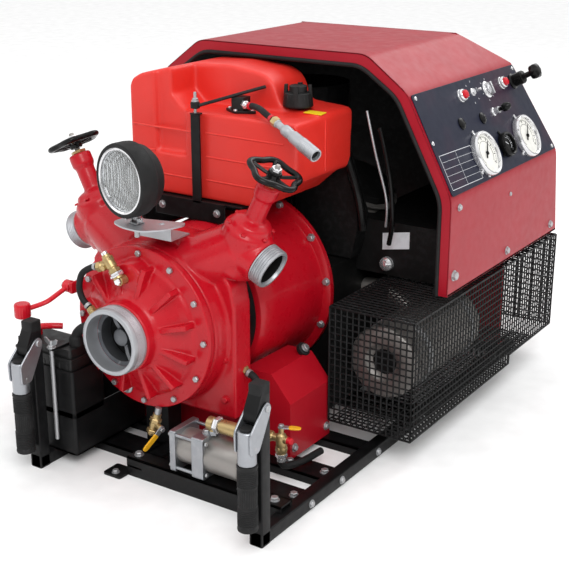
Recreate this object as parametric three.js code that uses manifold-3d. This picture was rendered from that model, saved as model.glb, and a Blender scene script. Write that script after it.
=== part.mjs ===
// Portable fire pump: an engine-driven end-suction pump on a low tube frame, in millimetres.
// +Z is up, the suction inlet faces -Y and the instrument panel is on the +X side.
// The origin is on the ground under the middle of the whole machine.
import * as THREE from "three";
import { mergeVertices } from "three/addons/utils/BufferGeometryUtils.js";
import Module from "manifold-3d";

const wasm = await Module();
wasm.setup();

// ---- driving dimensions -------------------------------------------------------------------
const GAP = 0.4; // running and fitting clearance between neighbouring parts
const FRONT = -527.5; // front face of the front posts
const FRAME_X = 46; // centre plane of the frame
const PUMP_X = -46; // centre plane of the pump, the bell housing and the engine
const PUMP_Z = 278; // height of the pump shaft
const MIDDLE_X = 4.85; // the gauges stand out past the hood, so the machine's middle lies here
const back = (distance) => FRONT + distance; // y at a distance behind the front posts

const RAIL = 26; // width and height of the side rails
const RAIL_SPACING = 512; // rail centre to rail centre
const RAIL_LENGTH = 1060;
const POST_DEPTH = 26;
const POST_HEIGHT = 296;

const HANDLE_PIVOT = { y: back(12), z: 255 };
const GRIP_Y = back(-22.5);
const GRIP_RADIUS = 18;
const GRIP_BOTTOM = 43;
const GRIP_TOP = 165;
const SOCKET_TOP = 226; // top of the cast handle socket
const CHEEK = 4; // thickness of a handle cheek

const COVER_BACK = back(150); // joint between the bolted suction cover and the casing
const COVER_RADIUS = 157;
const VOLUTE_BACK = back(240);
const SUCTION_OD = 127; // 4 inch suction thread
const SUCTION_BORE = 100;
const SUCTION_FACE = back(40);

const DISCHARGE_OD = 78; // 2 1/2 inch hose thread
const DISCHARGE_BORE = 62;
const VALVE_OUT = 163; // valve centre to the pump's centre plane
const VALVE_Y = back(228);
const VALVE_Z = 440;
const VALVE_TILT = (26.5 * Math.PI) / 180; // both outlets point out and down by this angle
const RING_START = 50; // valve centre to the back of the outlet ring
const RING_END = 76;
const WHEEL_DISTANCE = 160; // valve centre to the handwheel
const WHEEL_RADIUS = 47;

const PRIMER_ARM = { x: -216, y: back(124), z: 330 };

const SKIRT_BOTTOM = 113; // underside of the pump casing
const SKIRT_HALF = 172;

const TRAY_LEFT = -300; // battery tray
const TRAY_RIGHT = -142;
const TRAY_TOP = 112;
const TRAY_BOX = { top: 196, depth: 128 }; // the tall front part, around the battery
const TRAY_FLOOR = 29;

const BELL_FRONT = back(292);
const BELL_BACK = back(506);
const BELL_Z = 275;
const BELL_RADIUS = 190;

const HOOD_FRONT = back(521);
const HOOD_WALL = 3;
const HOOD_HALF = [387, 288, 197]; // half width at the sides, at the panel's top, at the roof
const HOOD_Z = [307, 500, 688, 755]; // bottom, panel bottom, panel top, roof
const HOOD_REAR = [back(1080), back(1048), back(1000), back(910)];
const HOOD_LIP = 22;

const TANK_FRONT = back(345);
const TANK_BACK = back(548);
const TANK_LEDGE = 645; // height of the step that carries the fuel pickup
const LEDGE_BACK = back(432);

const GUARD = { x0: 202, x1: 386, y0: back(391), y1: back(1095), z0: 52, z1: 293 };
const GUARD_STEP = { y: back(856), up: 20, end: back(1000) }; // the underside rises at y and stops at end
const GUARD_WALL = 3;
const MUFFLER = { x: 294, z: 178, radius: 72, y0: back(440), y1: back(735) };

// ---- colours: [sRGB, roughness, metalness] -------------------------------------------------
const COLOURS = {
  pumpRed: [0xc01c30, 0.3, 0.0],
  hoodRed: [0xb82436, 0.35, 0.0],
  tankRed: [0xd8302c, 0.45, 0.0],
  black: [0x141414, 0.45, 0.0],
  engineBlack: [0x101012, 0.5, 0.1],
  rubber: [0x1a1a1c, 0.8, 0.0],
  alloy: [0xb4b6ba, 0.4, 1.0],
  steel: [0x9a9a98, 0.35, 1.0],
  chrome: [0xdcdcdc, 0.1, 1.0],
  brass: [0xb8964c, 0.3, 1.0],
  yellow: [0xe0aa20, 0.5, 0.0],
  panel: [0x2c3145, 0.5, 0.0],
  white: [0xe4e4dc, 0.5, 0.0],
  lens: [0xd8e0e0, 0.1, 0.0],
  buttonRed: [0xa01020, 0.4, 0.0],
};

// ---- solids --------------------------------------------------------------------------------
// A three.js geometry as a solid that faces outwards.
function solid(geometry) {
  const bare = geometry.index ? geometry.toNonIndexed() : geometry.clone();
  bare.deleteAttribute("normal");
  bare.deleteAttribute("uv");
  const merged = mergeVertices(bare, 1e-4);
  const triVerts = new Uint32Array(merged.index.array);
  const vertProperties = new Float32Array(merged.attributes.position.array);
  const made = new wasm.Manifold(new wasm.Mesh({ numProp: 3, vertProperties, triVerts }));
  if (made.volume() > 0) return made;
  for (let i = 0; i < triVerts.length; i += 3) {
    [triVerts[i + 1], triVerts[i + 2]] = [triVerts[i + 2], triVerts[i + 1]];
  }
  return new wasm.Manifold(new wasm.Mesh({ numProp: 3, vertProperties, triVerts }));
}

const join = (...bodies) => bodies.flat().reduce((sum, body) => sum.add(body));
const cut = (body, ...tools) => tools.flat().reduce((left, tool) => left.subtract(tool), body);

function box(x0, x1, y0, y1, z0, z1) {
  const geometry = new THREE.BoxGeometry(x1 - x0, y1 - y0, z1 - z0);
  geometry.translate((x0 + x1) / 2, (y0 + y1) / 2, (z0 + z1) / 2);
  return solid(geometry);
}

// Turns a geometry built along +Y to point along a direction, and moves its foot to a point.
function aim(geometry, foot, direction) {
  const up = new THREE.Vector3(0, 1, 0);
  const turn = new THREE.Quaternion().setFromUnitVectors(up, direction.clone().normalize());
  return geometry.applyQuaternion(turn).translate(foot.x, foot.y, foot.z);
}

const vec = (x, y, z) => new THREE.Vector3(x, y, z);
const along = (from, direction, distance) => from.clone().addScaledVector(direction, distance);

// A straight round bar or cone between two points.
function rod(from, to, radius, sides = 16, endRadius = radius) {
  const direction = to.clone().sub(from);
  const length = direction.length();
  const geometry = new THREE.CylinderGeometry(endRadius, radius, length, sides);
  geometry.translate(0, length / 2, 0);
  return solid(aim(geometry, from, direction));
}

// A turned solid: [radius, distance] pairs along an axis that starts at a point.
function turned(profile, from, direction, sides = 24) {
  const points = profile.map(([radius, distance]) => new THREE.Vector2(radius, distance));
  return solid(aim(new THREE.LatheGeometry(points, sides), from, direction));
}

// An outline in x and z carried along y.
function slabY(outline, y0, y1) {
  const shape = new THREE.Shape(outline.map(([x, z]) => new THREE.Vector2(x, z)));
  const geometry = new THREE.ExtrudeGeometry(shape, { depth: y1 - y0, bevelEnabled: false });
  return solid(geometry.rotateX(Math.PI / 2).translate(0, y1, 0));
}

// An outline in y and z carried along x.
function slabX(outline, x0, x1) {
  const shape = new THREE.Shape(outline.map(([y, z]) => new THREE.Vector2(y, z)));
  const geometry = new THREE.ExtrudeGeometry(shape, { depth: x1 - x0, bevelEnabled: false });
  return solid(geometry.rotateX(Math.PI / 2).rotateZ(Math.PI / 2).translate(x0, 0, 0));
}

// An outline in x and y carried along z.
function slabZ(outline, z0, z1) {
  const shape = new THREE.Shape(outline.map(([x, y]) => new THREE.Vector2(x, y)));
  const geometry = new THREE.ExtrudeGeometry(shape, { depth: z1 - z0, bevelEnabled: false });
  return solid(geometry.translate(0, 0, z0));
}

const hosePath = (points) => new THREE.CatmullRomCurve3(points.map((p) => vec(...p)), false, "centripetal");

// A round tube or hose through a list of points.
function hose(points, radius, steps, sides = 8) {
  const ring = new THREE.Shape();
  for (let i = 0; i < sides; i += 1) {
    const angle = (2 * Math.PI * i) / sides;
    const [a, b] = [radius * Math.cos(angle), radius * Math.sin(angle)];
    if (i === 0) ring.moveTo(a, b);
    else ring.lineTo(a, b);
  }
  const shape = { steps, extrudePath: hosePath(points), bevelEnabled: false };
  return solid(new THREE.ExtrudeGeometry(ring, shape));
}

const machine = new THREE.Group();
machine.name = "portable_fire_pump";

function node(name, body, colour) {
  const raw = body.translate(-MIDDLE_X, 0, 0).getMesh();
  const geometry = new THREE.BufferGeometry();
  geometry.setAttribute("position", new THREE.BufferAttribute(raw.vertProperties, 3));
  geometry.setIndex(new THREE.BufferAttribute(raw.triVerts, 1));
  const [color, roughness, metalness] = COLOURS[colour];
  const material = new THREE.MeshStandardMaterial({ color, roughness, metalness });
  const mesh = new THREE.Mesh(geometry, material);
  mesh.name = name;
  machine.add(mesh);
}

// ---- frame ---------------------------------------------------------------------------------
const railX = (side) => FRAME_X + (side * RAIL_SPACING) / 2;

// A cross member with its top at a height, between the rails.
function crossMember(y, width, height) {
  return box(railX(-1), railX(1), back(y), back(y + width), 0, height);
}

function baseFrame() {
  const parts = [];
  for (const side of [-1, 1]) {
    const x = railX(side);
    parts.push(box(x - RAIL / 2, x + RAIL / 2, back(0), back(RAIL_LENGTH), 0, RAIL));
    parts.push(box(x - RAIL / 2, x + RAIL / 2, back(0), back(POST_DEPTH), 0, POST_HEIGHT));
    const knuckle = [
      [back(2), 284],
      [back(-14), 252],
      [back(-15), 236],
      [back(2), 224],
    ];
    parts.push(slabX(knuckle, x - RAIL / 2, x + RAIL / 2));
  }
  parts.push(box(FRAME_X - 92, railX(1), back(74), back(110), 0, 38));
  parts.push(box(FRAME_X - 92, FRAME_X - 56, back(74), back(240), 0, 22));
  parts.push(crossMember(124, 60, 18));
  parts.push(crossMember(232, 54, 18));
  parts.push(crossMember(376, 40, 18));
  parts.push(crossMember(560, 40, 30));
  parts.push(crossMember(1020, 40, 30));
  parts.push(box(FRAME_X - 132, FRAME_X - 90, back(50), back(92), 0, 5));
  const tray = cut(
    box(TRAY_LEFT, TRAY_RIGHT, back(42), back(246), RAIL - 2, TRAY_TOP),
    box(TRAY_LEFT + 3, TRAY_RIGHT - 3, back(45), back(243), TRAY_FLOOR, TRAY_TOP + 9),
  );
  const { top, depth } = TRAY_BOX;
  const batteryBox = cut(
    box(TRAY_LEFT, TRAY_RIGHT, back(42), back(depth), RAIL - 2, top),
    box(TRAY_LEFT + 3, TRAY_RIGHT - 3, back(45), back(depth - 3), TRAY_FLOOR, top + 9),
  );
  parts.push(tray, batteryBox);
  parts.push(box(PUMP_X - 44, PUMP_X + 12, back(186), back(226), 10, SKIRT_BOTTOM - GAP));
  return join(parts);
}

// The red sheet that closes the lower rear of the machine.
function rearPanel() {
  const skin = box(FRAME_X - 262, FRAME_X + 252, back(1004), back(1007), 34, 262);
  const flange = box(FRAME_X - 262, FRAME_X + 252, back(1004), back(1034), 30 + GAP, 34);
  return join(skin, flange);
}

// ---- carry handles -------------------------------------------------------------------------
// The cast socket with two cheeks that straddle the post and turn on its pin.
function handleCasting(side) {
  const x = railX(side);
  const socket = rod(vec(x, GRIP_Y, GRIP_TOP + GAP), vec(x, GRIP_Y, SOCKET_TOP), 16, 20);
  const inner = RAIL / 2 + GAP;
  const cheekOutline = [
    [GRIP_Y - 12, GRIP_TOP + 22],
    [GRIP_Y + 12, GRIP_TOP + 22],
    [HANDLE_PIVOT.y + 9, HANDLE_PIVOT.z - 9],
    [HANDLE_PIVOT.y + 10, HANDLE_PIVOT.z + 5],
    [HANDLE_PIVOT.y, HANDLE_PIVOT.z + 11],
    [HANDLE_PIVOT.y - 9, HANDLE_PIVOT.z + 6],
    [GRIP_Y - 14, SOCKET_TOP - 4],
  ];
  const cheeks = [
    slabX(cheekOutline, x - inner - CHEEK, x - inner),
    slabX(cheekOutline, x + inner, x + inner + CHEEK),
  ];
  const bore = rod(vec(x, GRIP_Y, 0), vec(x, GRIP_Y, 400), 8 + GAP, 12);
  return cut(join(socket, cheeks), bore);
}

// The rubber grip on its core bar, with the round stop on top of the socket.
function handleGrip(side) {
  const x = railX(side);
  const r = GRIP_RADIUS;
  const sleeve = [
    [0, GRIP_BOTTOM],
    [r - 2, GRIP_BOTTOM],
    [r, GRIP_BOTTOM + 4],
    [r - 1.5, GRIP_BOTTOM + 50],
    [r - 1.5, GRIP_TOP - 45],
    [r, GRIP_TOP - 40],
    [r, GRIP_TOP],
    [8, GRIP_TOP],
    [8, SOCKET_TOP + GAP],
    [12, SOCKET_TOP + GAP],
    [11, SOCKET_TOP + 5],
    [0, SOCKET_TOP + 5],
  ];
  return turned(sleeve, vec(x, GRIP_Y, 0), vec(0, 0, 1), 16);
}

// ---- pump ----------------------------------------------------------------------------------
const outletAxis = (side) => vec(side * Math.cos(VALVE_TILT), 0, -Math.sin(VALVE_TILT));
const stemAxis = (side) => vec(side * Math.sin(VALVE_TILT), 0, Math.cos(VALVE_TILT));
const valveCentre = (side) => vec(PUMP_X + side * VALVE_OUT, VALVE_Y, VALVE_Z);
const onShaft = (y) => vec(PUMP_X, y, PUMP_Z);
const BACKWARD = vec(0, 1, 0);

function voluteOutline() {
  const right = [
    [SKIRT_HALF, SKIRT_BOTTOM],
    [SKIRT_HALF, 330],
    [164, 372],
    [120, 430],
    [90, 452],
  ];
  const left = [
    [-90, 452],
    [-120, 430],
    [-164, 372],
    [-158, 262],
    [-110, 168],
    [-50, SKIRT_BOTTOM],
  ];
  return [...right, ...left].map(([x, z]) => [PUMP_X + x, z]);
}

// The main casting: volute, foot skirt and the two discharge heads.
function pumpCasing() {
  const block = slabY(voluteOutline(), COVER_BACK + 38, VOLUTE_BACK);
  const drum = rod(onShaft(COVER_BACK), onShaft(VOLUTE_BACK - 6), 158, 28, 164);
  const parts = [block, drum];
  const lugZ = PRIMER_ARM.z;
  parts.push(box(PRIMER_ARM.x + 7.5, -200, back(114), back(170), lugZ - 12, lugZ + 12));
  parts.push(box(PRIMER_ARM.x + 7.5, -180, back(154), back(170), lugZ - 12, lugZ + 12));
  const cavities = [rod(onShaft(COVER_BACK - 1), onShaft(VOLUTE_BACK - 22), 112, 18)];
  cavities.push(rod(onShaft(COVER_BACK), onShaft(BELL_FRONT), 17, 12));
  for (const side of [-1, 1]) {
    const centre = valveCentre(side);
    const out = outletAxis(side);
    const up = stemAxis(side);
    const root = vec(PUMP_X + side * 70, back(212), 392);
    parts.push(rod(root, centre, 56, 14, 50));
    parts.push(rod(along(centre, out, -20), along(centre, out, RING_START), 46, 16, 41));
    parts.push(rod(along(centre, up, -48), along(centre, up, 46), 47, 16, 42));
    parts.push(rod(along(centre, up, 42), along(centre, up, 62), 40, 14, 22));
    parts.push(rod(along(centre, up, 60), along(centre, up, 110), 18, 10));
    parts.push(rod(along(centre, up, 106), along(centre, up, 136), 22, 12));
    cavities.push(rod(along(centre, out, 0), along(centre, out, 70), DISCHARGE_BORE / 2, 12));
    cavities.push(rod(along(centre, up, -40), along(centre, up, 34), 33, 12));
    cavities.push(rod(along(centre, up, 30), along(centre, up, 140), 5 + GAP, 8));
    cavities.push(rod(vec(PUMP_X + side * 60, back(190), 345), along(centre, up, -24), 22, 8));
  }
  return cut(join(parts), cavities);
}

const VANE_TILT = 1.15; // the inlet vane leans to the left at its top
const COVER_BOSS = { x: PUMP_X - 4, z: PUMP_Z + 96 };

// The bolted front cover with its radial ribs and the suction neck.
function suctionCover() {
  const reach = COVER_BACK - back(72);
  const profile = [
    [SUCTION_BORE / 2, 0],
    [66, 0],
    [68, 22],
    [92, 40],
    [124, 54],
    [130, reach - 16],
    [COVER_RADIUS, reach - 16],
    [COVER_RADIUS, reach - GAP],
    [SUCTION_BORE / 2, reach - GAP],
    [SUCTION_BORE / 2, 0],
  ];
  const shell = turned(profile, onShaft(back(72)), BACKWARD, 28);
  const ribs = [];
  for (let i = 0; i < 12; i += 1) {
    const angle = (i * Math.PI) / 6 + Math.PI / 12;
    const wedge = slabX([[back(100), 72], [back(108), 128], [back(134), 128], [back(134), 60]], -3, 3);
    const turn = new THREE.Matrix4().makeRotationY(angle).setPosition(PUMP_X, 0, PUMP_Z);
    ribs.push(wedge.transform(turn.elements));
  }
  const bossFoot = vec(COVER_BOSS.x, back(140), COVER_BOSS.z);
  const bossFace = vec(COVER_BOSS.x, back(104), COVER_BOSS.z);
  const boss = rod(bossFace, bossFoot, 34, 20, 42);
  return join(shell, ribs, boss);
}

// Threaded suction ring.
function suctionRing() {
  const outer = SUCTION_OD / 2;
  const bore = SUCTION_BORE / 2 + 4;
  const profile = [
    [bore, 0],
    [outer - 3, 0],
    [outer, 3],
    [outer, 26],
    [outer - 2, 32 - GAP],
    [bore, 32 - GAP],
    [bore, 0],
  ];
  return turned(profile, onShaft(SUCTION_FACE), BACKWARD, 28);
}

// The straightening web that stands across the suction bore.
function inletWeb() {
  const r = SUCTION_BORE / 2 - GAP;
  const section = [[r - 5, 0], [r, 0], [r, 24], [r - 5, 24], [r - 5, 0]];
  const ring = turned(section, onShaft(back(74)), BACKWARD, 24);
  const hub = rod(onShaft(back(70)), onShaft(back(98)), 17, 12);
  const vane = box(1 - r, r - 1, back(76), back(96), -4, 4);
  const turn = new THREE.Matrix4().makeRotationY(VANE_TILT).setPosition(PUMP_X, 0, PUMP_Z);
  return join(ring, hub, vane.transform(turn.elements));
}

// Impeller, shaft and the drive coupling inside the bell housing.
function impeller() {
  const front = COVER_BACK + 14;
  const parts = [rod(onShaft(front + 34), onShaft(front + 42), 104, 20)];
  parts.push(turned([[0, -20], [14, -12], [20, 4], [24, 36], [0, 36]], onShaft(front), BACKWARD, 12));
  for (let i = 0; i < 6; i += 1) {
    const vane = box(14, 100, front + 6, front + 36, -2.5, 2.5);
    const turn = new THREE.Matrix4().makeRotationY((i * Math.PI) / 3).setPosition(PUMP_X, 0, PUMP_Z);
    parts.push(vane.transform(turn.elements));
  }
  parts.push(rod(onShaft(front + 38), onShaft(BELL_FRONT + 52), 14, 10));
  parts.push(rod(onShaft(BELL_FRONT + 40), onShaft(BELL_FRONT + 70), 70, 16));
  return join(parts);
}

// Threaded outlet ring on a discharge head.
function dischargeRing(side) {
  const outer = DISCHARGE_OD / 2;
  const bore = DISCHARGE_BORE / 2;
  const profile = [
    [bore, RING_START + GAP],
    [outer, RING_START + GAP],
    [outer, RING_END - 3],
    [outer - 2, RING_END],
    [bore + 2, RING_END],
    [bore, RING_END - 5],
    [bore, RING_START + GAP],
  ];
  return turned(profile, valveCentre(side), outletAxis(side), 20);
}

// Rising valve stem with its disc inside the discharge head.
function valveStem(side) {
  const centre = valveCentre(side);
  const up = stemAxis(side);
  const disc = rod(along(centre, up, -34), along(centre, up, -24), 30, 16);
  const stem = rod(along(centre, up, -26), along(centre, up, WHEEL_DISTANCE + 18), 5, 8);
  return join(disc, stem);
}

// Lobed handwheel with its clamping nut.
function handwheel(side) {
  const centre = along(valveCentre(side), stemAxis(side), WHEEL_DISTANCE);
  const up = stemAxis(side);
  const lobes = [];
  for (let i = 0; i < 20; i += 1) {
    const angle = (i * Math.PI) / 10;
    const r = WHEEL_RADIUS - 3 + 4 * Math.cos(5 * angle);
    lobes.push(vec(r * Math.cos(angle), 0, r * Math.sin(angle)));
  }
  const section = new THREE.Shape();
  for (let i = 0; i < 6; i += 1) {
    const angle = (i * Math.PI) / 3;
    const [a, b] = [6.5 * Math.cos(angle), 6.5 * Math.sin(angle)];
    if (i === 0) section.moveTo(a, b);
    else section.lineTo(a, b);
  }
  const path = new THREE.CatmullRomCurve3(lobes, true);
  const rim = new THREE.ExtrudeGeometry(section, { steps: 25, extrudePath: path, bevelEnabled: false });
  const parts = [solid(aim(rim, centre, up))];
  for (let i = 0; i < 5; i += 1) {
    const angle = ((i * 2 + 1) * Math.PI) / 5;
    const spoke = new THREE.BoxGeometry(WHEEL_RADIUS - 14, 6, 9);
    spoke.translate((WHEEL_RADIUS - 14) / 2 + 6, 0, 0).rotateY(-angle);
    parts.push(solid(aim(spoke, centre, up)));
  }
  parts.push(rod(along(centre, up, -14), along(centre, up, 8), 13, 10));
  const bore = rod(along(centre, up, -30), along(centre, up, 30), 5 + 2 * GAP, 10);
  return cut(join(parts), bore);
}

// ---- work lamp -----------------------------------------------------------------------------
const LAMP = { x: -36, y: back(84), z: 567, radius: 66.5, depth: 78 };
const LAMP_PIVOT = { y: LAMP.y + 36, z: 492 };
const LAMP_TURN = 11; // degrees that the lamp stands turned on its stud
const PLATE_TOP = 484;

// Turns a lamp piece about its upright stud.
function swivelled(body) {
  const turn = new THREE.Matrix4().makeRotationZ((-LAMP_TURN * Math.PI) / 180);
  const away = new THREE.Matrix4().makeTranslation(-LAMP.x, -LAMP_PIVOT.y, 0);
  const home = new THREE.Matrix4().makeTranslation(LAMP.x, LAMP_PIVOT.y, 0);
  return body.transform(home.multiply(turn).multiply(away).elements);
}

function lampHousing() {
  const profile = [
    [0, 14],
    [LAMP.radius - 10, 14],
    [LAMP.radius - 8, 0],
    [LAMP.radius, 0],
    [LAMP.radius + 1, 34],
    [LAMP.radius - 8, 52],
    [LAMP.radius - 26, LAMP.depth - 6],
    [20, LAMP.depth],
    [0, LAMP.depth],
  ];
  const shell = turned(profile, vec(LAMP.x, LAMP.y, LAMP.z), BACKWARD, 26);
  const { y, z } = LAMP_PIVOT;
  const lug = box(LAMP.x - 7, LAMP.x + 7, y - 4, y + 4, z, LAMP.z - 54);
  const eye = rod(vec(LAMP.x - 7, y, z), vec(LAMP.x + 7, y, z), 4.2, 12);
  return swivelled(join(shell, lug, eye));
}

function lampLens() {
  const profile = [
    [0, 3],
    [30, 4],
    [LAMP.radius - 10.5, 8],
    [LAMP.radius - 10.5, 14 - GAP],
    [0, 14 - GAP],
  ];
  return swivelled(turned(profile, vec(LAMP.x, LAMP.y, LAMP.z), BACKWARD, 20));
}

// The small clevis that carries the lamp and swivels on its stud.
function lampYoke() {
  const { y, z } = LAMP_PIVOT;
  const inner = 7 + GAP;
  const base = box(LAMP.x - inner - 3, LAMP.x + inner + 3, y - 10, y + 10, PLATE_TOP + GAP, PLATE_TOP + 3.2);
  const left = box(LAMP.x - inner - 3, LAMP.x - inner, y - 6, y + 6, PLATE_TOP + GAP, z + 3.5);
  const right = box(LAMP.x + inner, LAMP.x + inner + 3, y - 6, y + 6, PLATE_TOP + GAP, z + 3.5);
  const stud = rod(vec(LAMP.x, y, PLATE_TOP - 26), vec(LAMP.x, y, PLATE_TOP + 2), 5, 12);
  return swivelled(join(base, left, right, stud));
}

// The bright plate with a bowed front edge that the lamp stands on.
function lampPlate() {
  const outline = [
    [-82, back(106)],
    [-46, back(88)],
    [0, back(84)],
    [30, back(112)],
    [42, back(156)],
    [34, back(172)],
    [-80, back(142)],
  ];
  const top = slabZ(outline, PLATE_TOP - 3, PLATE_TOP);
  const leg = box(-60, 20, back(146), back(149), 452 + GAP, PLATE_TOP - 2);
  const foot = box(-60, 20, back(146), back(200), 452 + GAP, 455.5);
  const hole = rod(vec(LAMP.x, LAMP_PIVOT.y, 400), vec(LAMP.x, LAMP_PIVOT.y, 500), 5 + GAP, 12);
  return cut(join(top, leg, foot), hole);
}

// ---- bell housing, pedestal and engine -----------------------------------------------------
function bellHousing() {
  const length = BELL_BACK - BELL_FRONT;
  const centre = vec(PUMP_X, BELL_FRONT, BELL_Z);
  const profile = [
    [0, 0],
    [120, 0],
    [152, 10],
    [162, 60],
    [172, length - 14],
    [BELL_RADIUS, length - 13],
    [BELL_RADIUS, length],
    [160, length],
    [140, 40],
    [110, 24],
    [0, 24],
  ];
  const shell = turned(profile, centre, BACKWARD, 24);
  const neck = rod(onShaft(VOLUTE_BACK + GAP), onShaft(BELL_FRONT + 4), 60, 14, 84);
  const shaftBore = rod(onShaft(VOLUTE_BACK), onShaft(BELL_FRONT + 30), 17, 12);
  return cut(join(shell, neck), shaftBore);
}

// The red sheet-metal saddle under the bell housing.
function pedestal() {
  const outline = [
    [-190, 18 + GAP],
    [199, 18 + GAP],
    [199, 134],
    [156, 186],
    [-150, 186],
    [-190, 134],
  ];
  const block = slabY(outline, back(262), back(404));
  const inside = outline.map(([x, z]) => [x > 0 ? x - 4 : x + 4, z > 100 ? z - 4 : z - 20]);
  const hollow = slabY(inside, back(266), back(440));
  const axis = (y) => vec(PUMP_X, y, BELL_Z);
  const saddle = rod(axis(back(255)), axis(back(440)), 166, 24, 172);
  return cut(block, hollow, saddle);
}

// Crankcase and the two cylinders of the engine.
function engineBlock() {
  const y0 = BELL_BACK + GAP;
  const section = [[-200, 62], [110, 62], [140, 110], [140, 330], [-224, 330], [-224, 110]];
  const sump = slabY(section, y0, back(840));
  const feet = [
    box(-190, 120, back(562), back(598), 30 + GAP, 64),
    box(-190, 120, back(790), back(830), 30 + GAP, 64),
  ];
  const cylinders = [];
  for (const side of [-1, 1]) {
    const foot = vec(PUMP_X + side * 60, back(690), 300);
    cylinders.push(rod(foot, vec(PUMP_X + side * 150, back(690), 470), 72, 12));
  }
  const rearShaft = rod(vec(PUMP_X, back(838), BELL_Z), vec(PUMP_X, back(880), BELL_Z), 30, 16);
  const intake = rod(vec(PUMP_X, back(700), 320), vec(PUMP_X, back(700), 562), 24, 16);
  const airCleaner = rod(vec(PUMP_X, back(700), 560), vec(PUMP_X, back(700), 660), 90, 24);
  const sideCowl = box(138, 356, back(600), back(990), 300, 412);
  return join(sump, feet, cylinders, rearShaft, intake, airCleaner, sideCowl);
}

// Cooling shroud over the front of the engine, with the flywheel fan behind it.
function engineShroud() {
  const outline = [
    [-230, 334],
    [150, 334],
    [168, 420],
    [120, 560],
    [40, 610],
    [-124, 610],
    [-204, 560],
    [-250, 420],
  ];
  const cowl = slabY(outline, back(560), back(600));
  return cut(cowl, rod(vec(PUMP_X, back(550), 430), vec(PUMP_X, back(600), 430), 62, 20));
}

function mufflerCan() {
  const { x, z, radius, y0, y1 } = MUFFLER;
  const length = y1 - y0;
  const frontEnd = [[0, 6], [34, 6], [38, 0], [radius - 6, 0], [radius, 8]];
  const rearEnd = [[radius, length - 8], [radius - 6, length], [0, length]];
  const can = turned([...frontEnd, ...rearEnd], vec(x, y0, z), BACKWARD, 20);
  const pipe = hose([[140 + GAP, back(640), 250], [190, back(640), 250], [240, back(640), 225]], 19, 6, 10);
  const tail = rod(vec(x, y1 - 4, z - 20), vec(x, y1 + 90, z - 20), 18, 16);
  return join(can, pipe, tail);
}

// ---- hood, panel and instruments -----------------------------------------------------------
function archOutline(inset) {
  const [side, shoulder, roof] = HOOD_HALF;
  const [z0, z1, z2, z3] = HOOD_Z;
  const half = [
    [side - inset, z0 - (inset ? 20 : 0)],
    [side - inset, z1 - inset * 0.24],
    [shoulder - inset, z2 - inset * 0.42],
    [roof - inset * 0.45, z3 - inset],
  ];
  return [...half, ...half.map(([x, z]) => [-x, z]).reverse()];
}

function rearOutline(inset) {
  const [y0, y1, y2, y3] = HOOD_REAR;
  const [z0, z1, z2, z3] = HOOD_Z;
  const front = HOOD_FRONT - (inset ? 60 : 0);
  return [
    [front, z0 - (inset ? 20 : 0)],
    [y0 - inset, z0 - (inset ? 20 : 0)],
    [y1 - inset, z1],
    [y2 - inset, z2 - inset * 0.5],
    [y3 - inset, z3 - inset],
    [front, z3 - inset],
  ];
}

function hood() {
  const width = HOOD_HALF[0] + 10;
  const block = slabY(archOutline(0), HOOD_FRONT, HOOD_REAR[0]);
  const outer = block.intersect(slabX(rearOutline(0), -width, width));
  const inner = slabY(archOutline(HOOD_WALL), HOOD_FRONT + HOOD_WALL, HOOD_REAR[0]);
  const hollow = inner.intersect(slabX(rearOutline(HOOD_WALL), -width, width));
  const opening = slabY(archOutline(HOOD_LIP), HOOD_FRONT - 5, HOOD_FRONT + 20);
  return cut(outer, hollow, opening);
}

// Frame of the sloped panel: "across" runs back along the machine and "out" away from the hood.
const PANEL_FOOT = vec(HOOD_HALF[0], 0, HOOD_Z[1]);
const PANEL_UP = vec(HOOD_HALF[1] - HOOD_HALF[0], 0, HOOD_Z[2] - HOOD_Z[1]);
const PANEL_HEIGHT = PANEL_UP.length();
const upPanel = PANEL_UP.clone().normalize();
const PANEL_OUT = vec(upPanel.z, 0, -upPanel.x);
const PANEL_THICK = 2;

// A point on the panel: distance behind the front posts, height up the slope, stand-off.
function onPanel(y, up, out) {
  const point = along(along(PANEL_FOOT, upPanel, up), PANEL_OUT, out);
  point.y = back(y);
  return point;
}

const bossOnPanel = (y, up, out0, out1, radius, sides = 16, endRadius = radius) =>
  rod(onPanel(y, up, out0), onPanel(y, up, out1), radius, sides, endRadius);

const FACE = GAP + PANEL_THICK + GAP; // stand-off of the parts that sit on the panel
const GAUGES = { suction: [706, 54], discharge: [910, 54] };
const GAUGE_RADIUS = 46;

function gauge([y, up]) {
  const profile = [
    [0, FACE],
    [GAUGE_RADIUS, FACE],
    [GAUGE_RADIUS, FACE + 12],
    [GAUGE_RADIUS - 5, FACE + 15],
    [GAUGE_RADIUS - 6, FACE + 8],
    [0, FACE + 8],
  ];
  return turned(profile, onPanel(y, up, 0), PANEL_OUT, 24);
}

function needle([y, up]) {
  const low = FACE + 8 + GAP;
  const hub = bossOnPanel(y, up, low, low + 3, 4, 12);
  const tip = onPanel(y + 20, up + 22, low + 1.5);
  return join(hub, rod(onPanel(y, up, low + 1.5), tip, 1.6, 6, 0.8));
}

function tachometer() {
  const profile = [[0, FACE], [26, FACE], [26, FACE + 16], [22, FACE + 18], [21, FACE + 14], [0, FACE + 14]];
  return turned(profile, onPanel(809, 54, 0), PANEL_OUT, 20);
}

const START = [711, 178];
const STOP = [906, 177];
const TOGGLE = [766, 178];
const KEY = [832, 174];
const CHOKE = [817, 126];
const THROTTLE = [962, 173];
const PLUGS = [[670, 126], [763, 122]];
const BUTTON_TRAVEL = 3;

// A push button's cap; it sinks into its surround by the button travel.
function pushButton([y, up]) {
  const cap = bossOnPanel(y, up, FACE + 4 + BUTTON_TRAVEL, FACE + 16, 8.5);
  return join(cap, bossOnPanel(y, up, FACE + BUTTON_TRAVEL + 0.5, FACE + 8, 4, 12));
}

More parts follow.
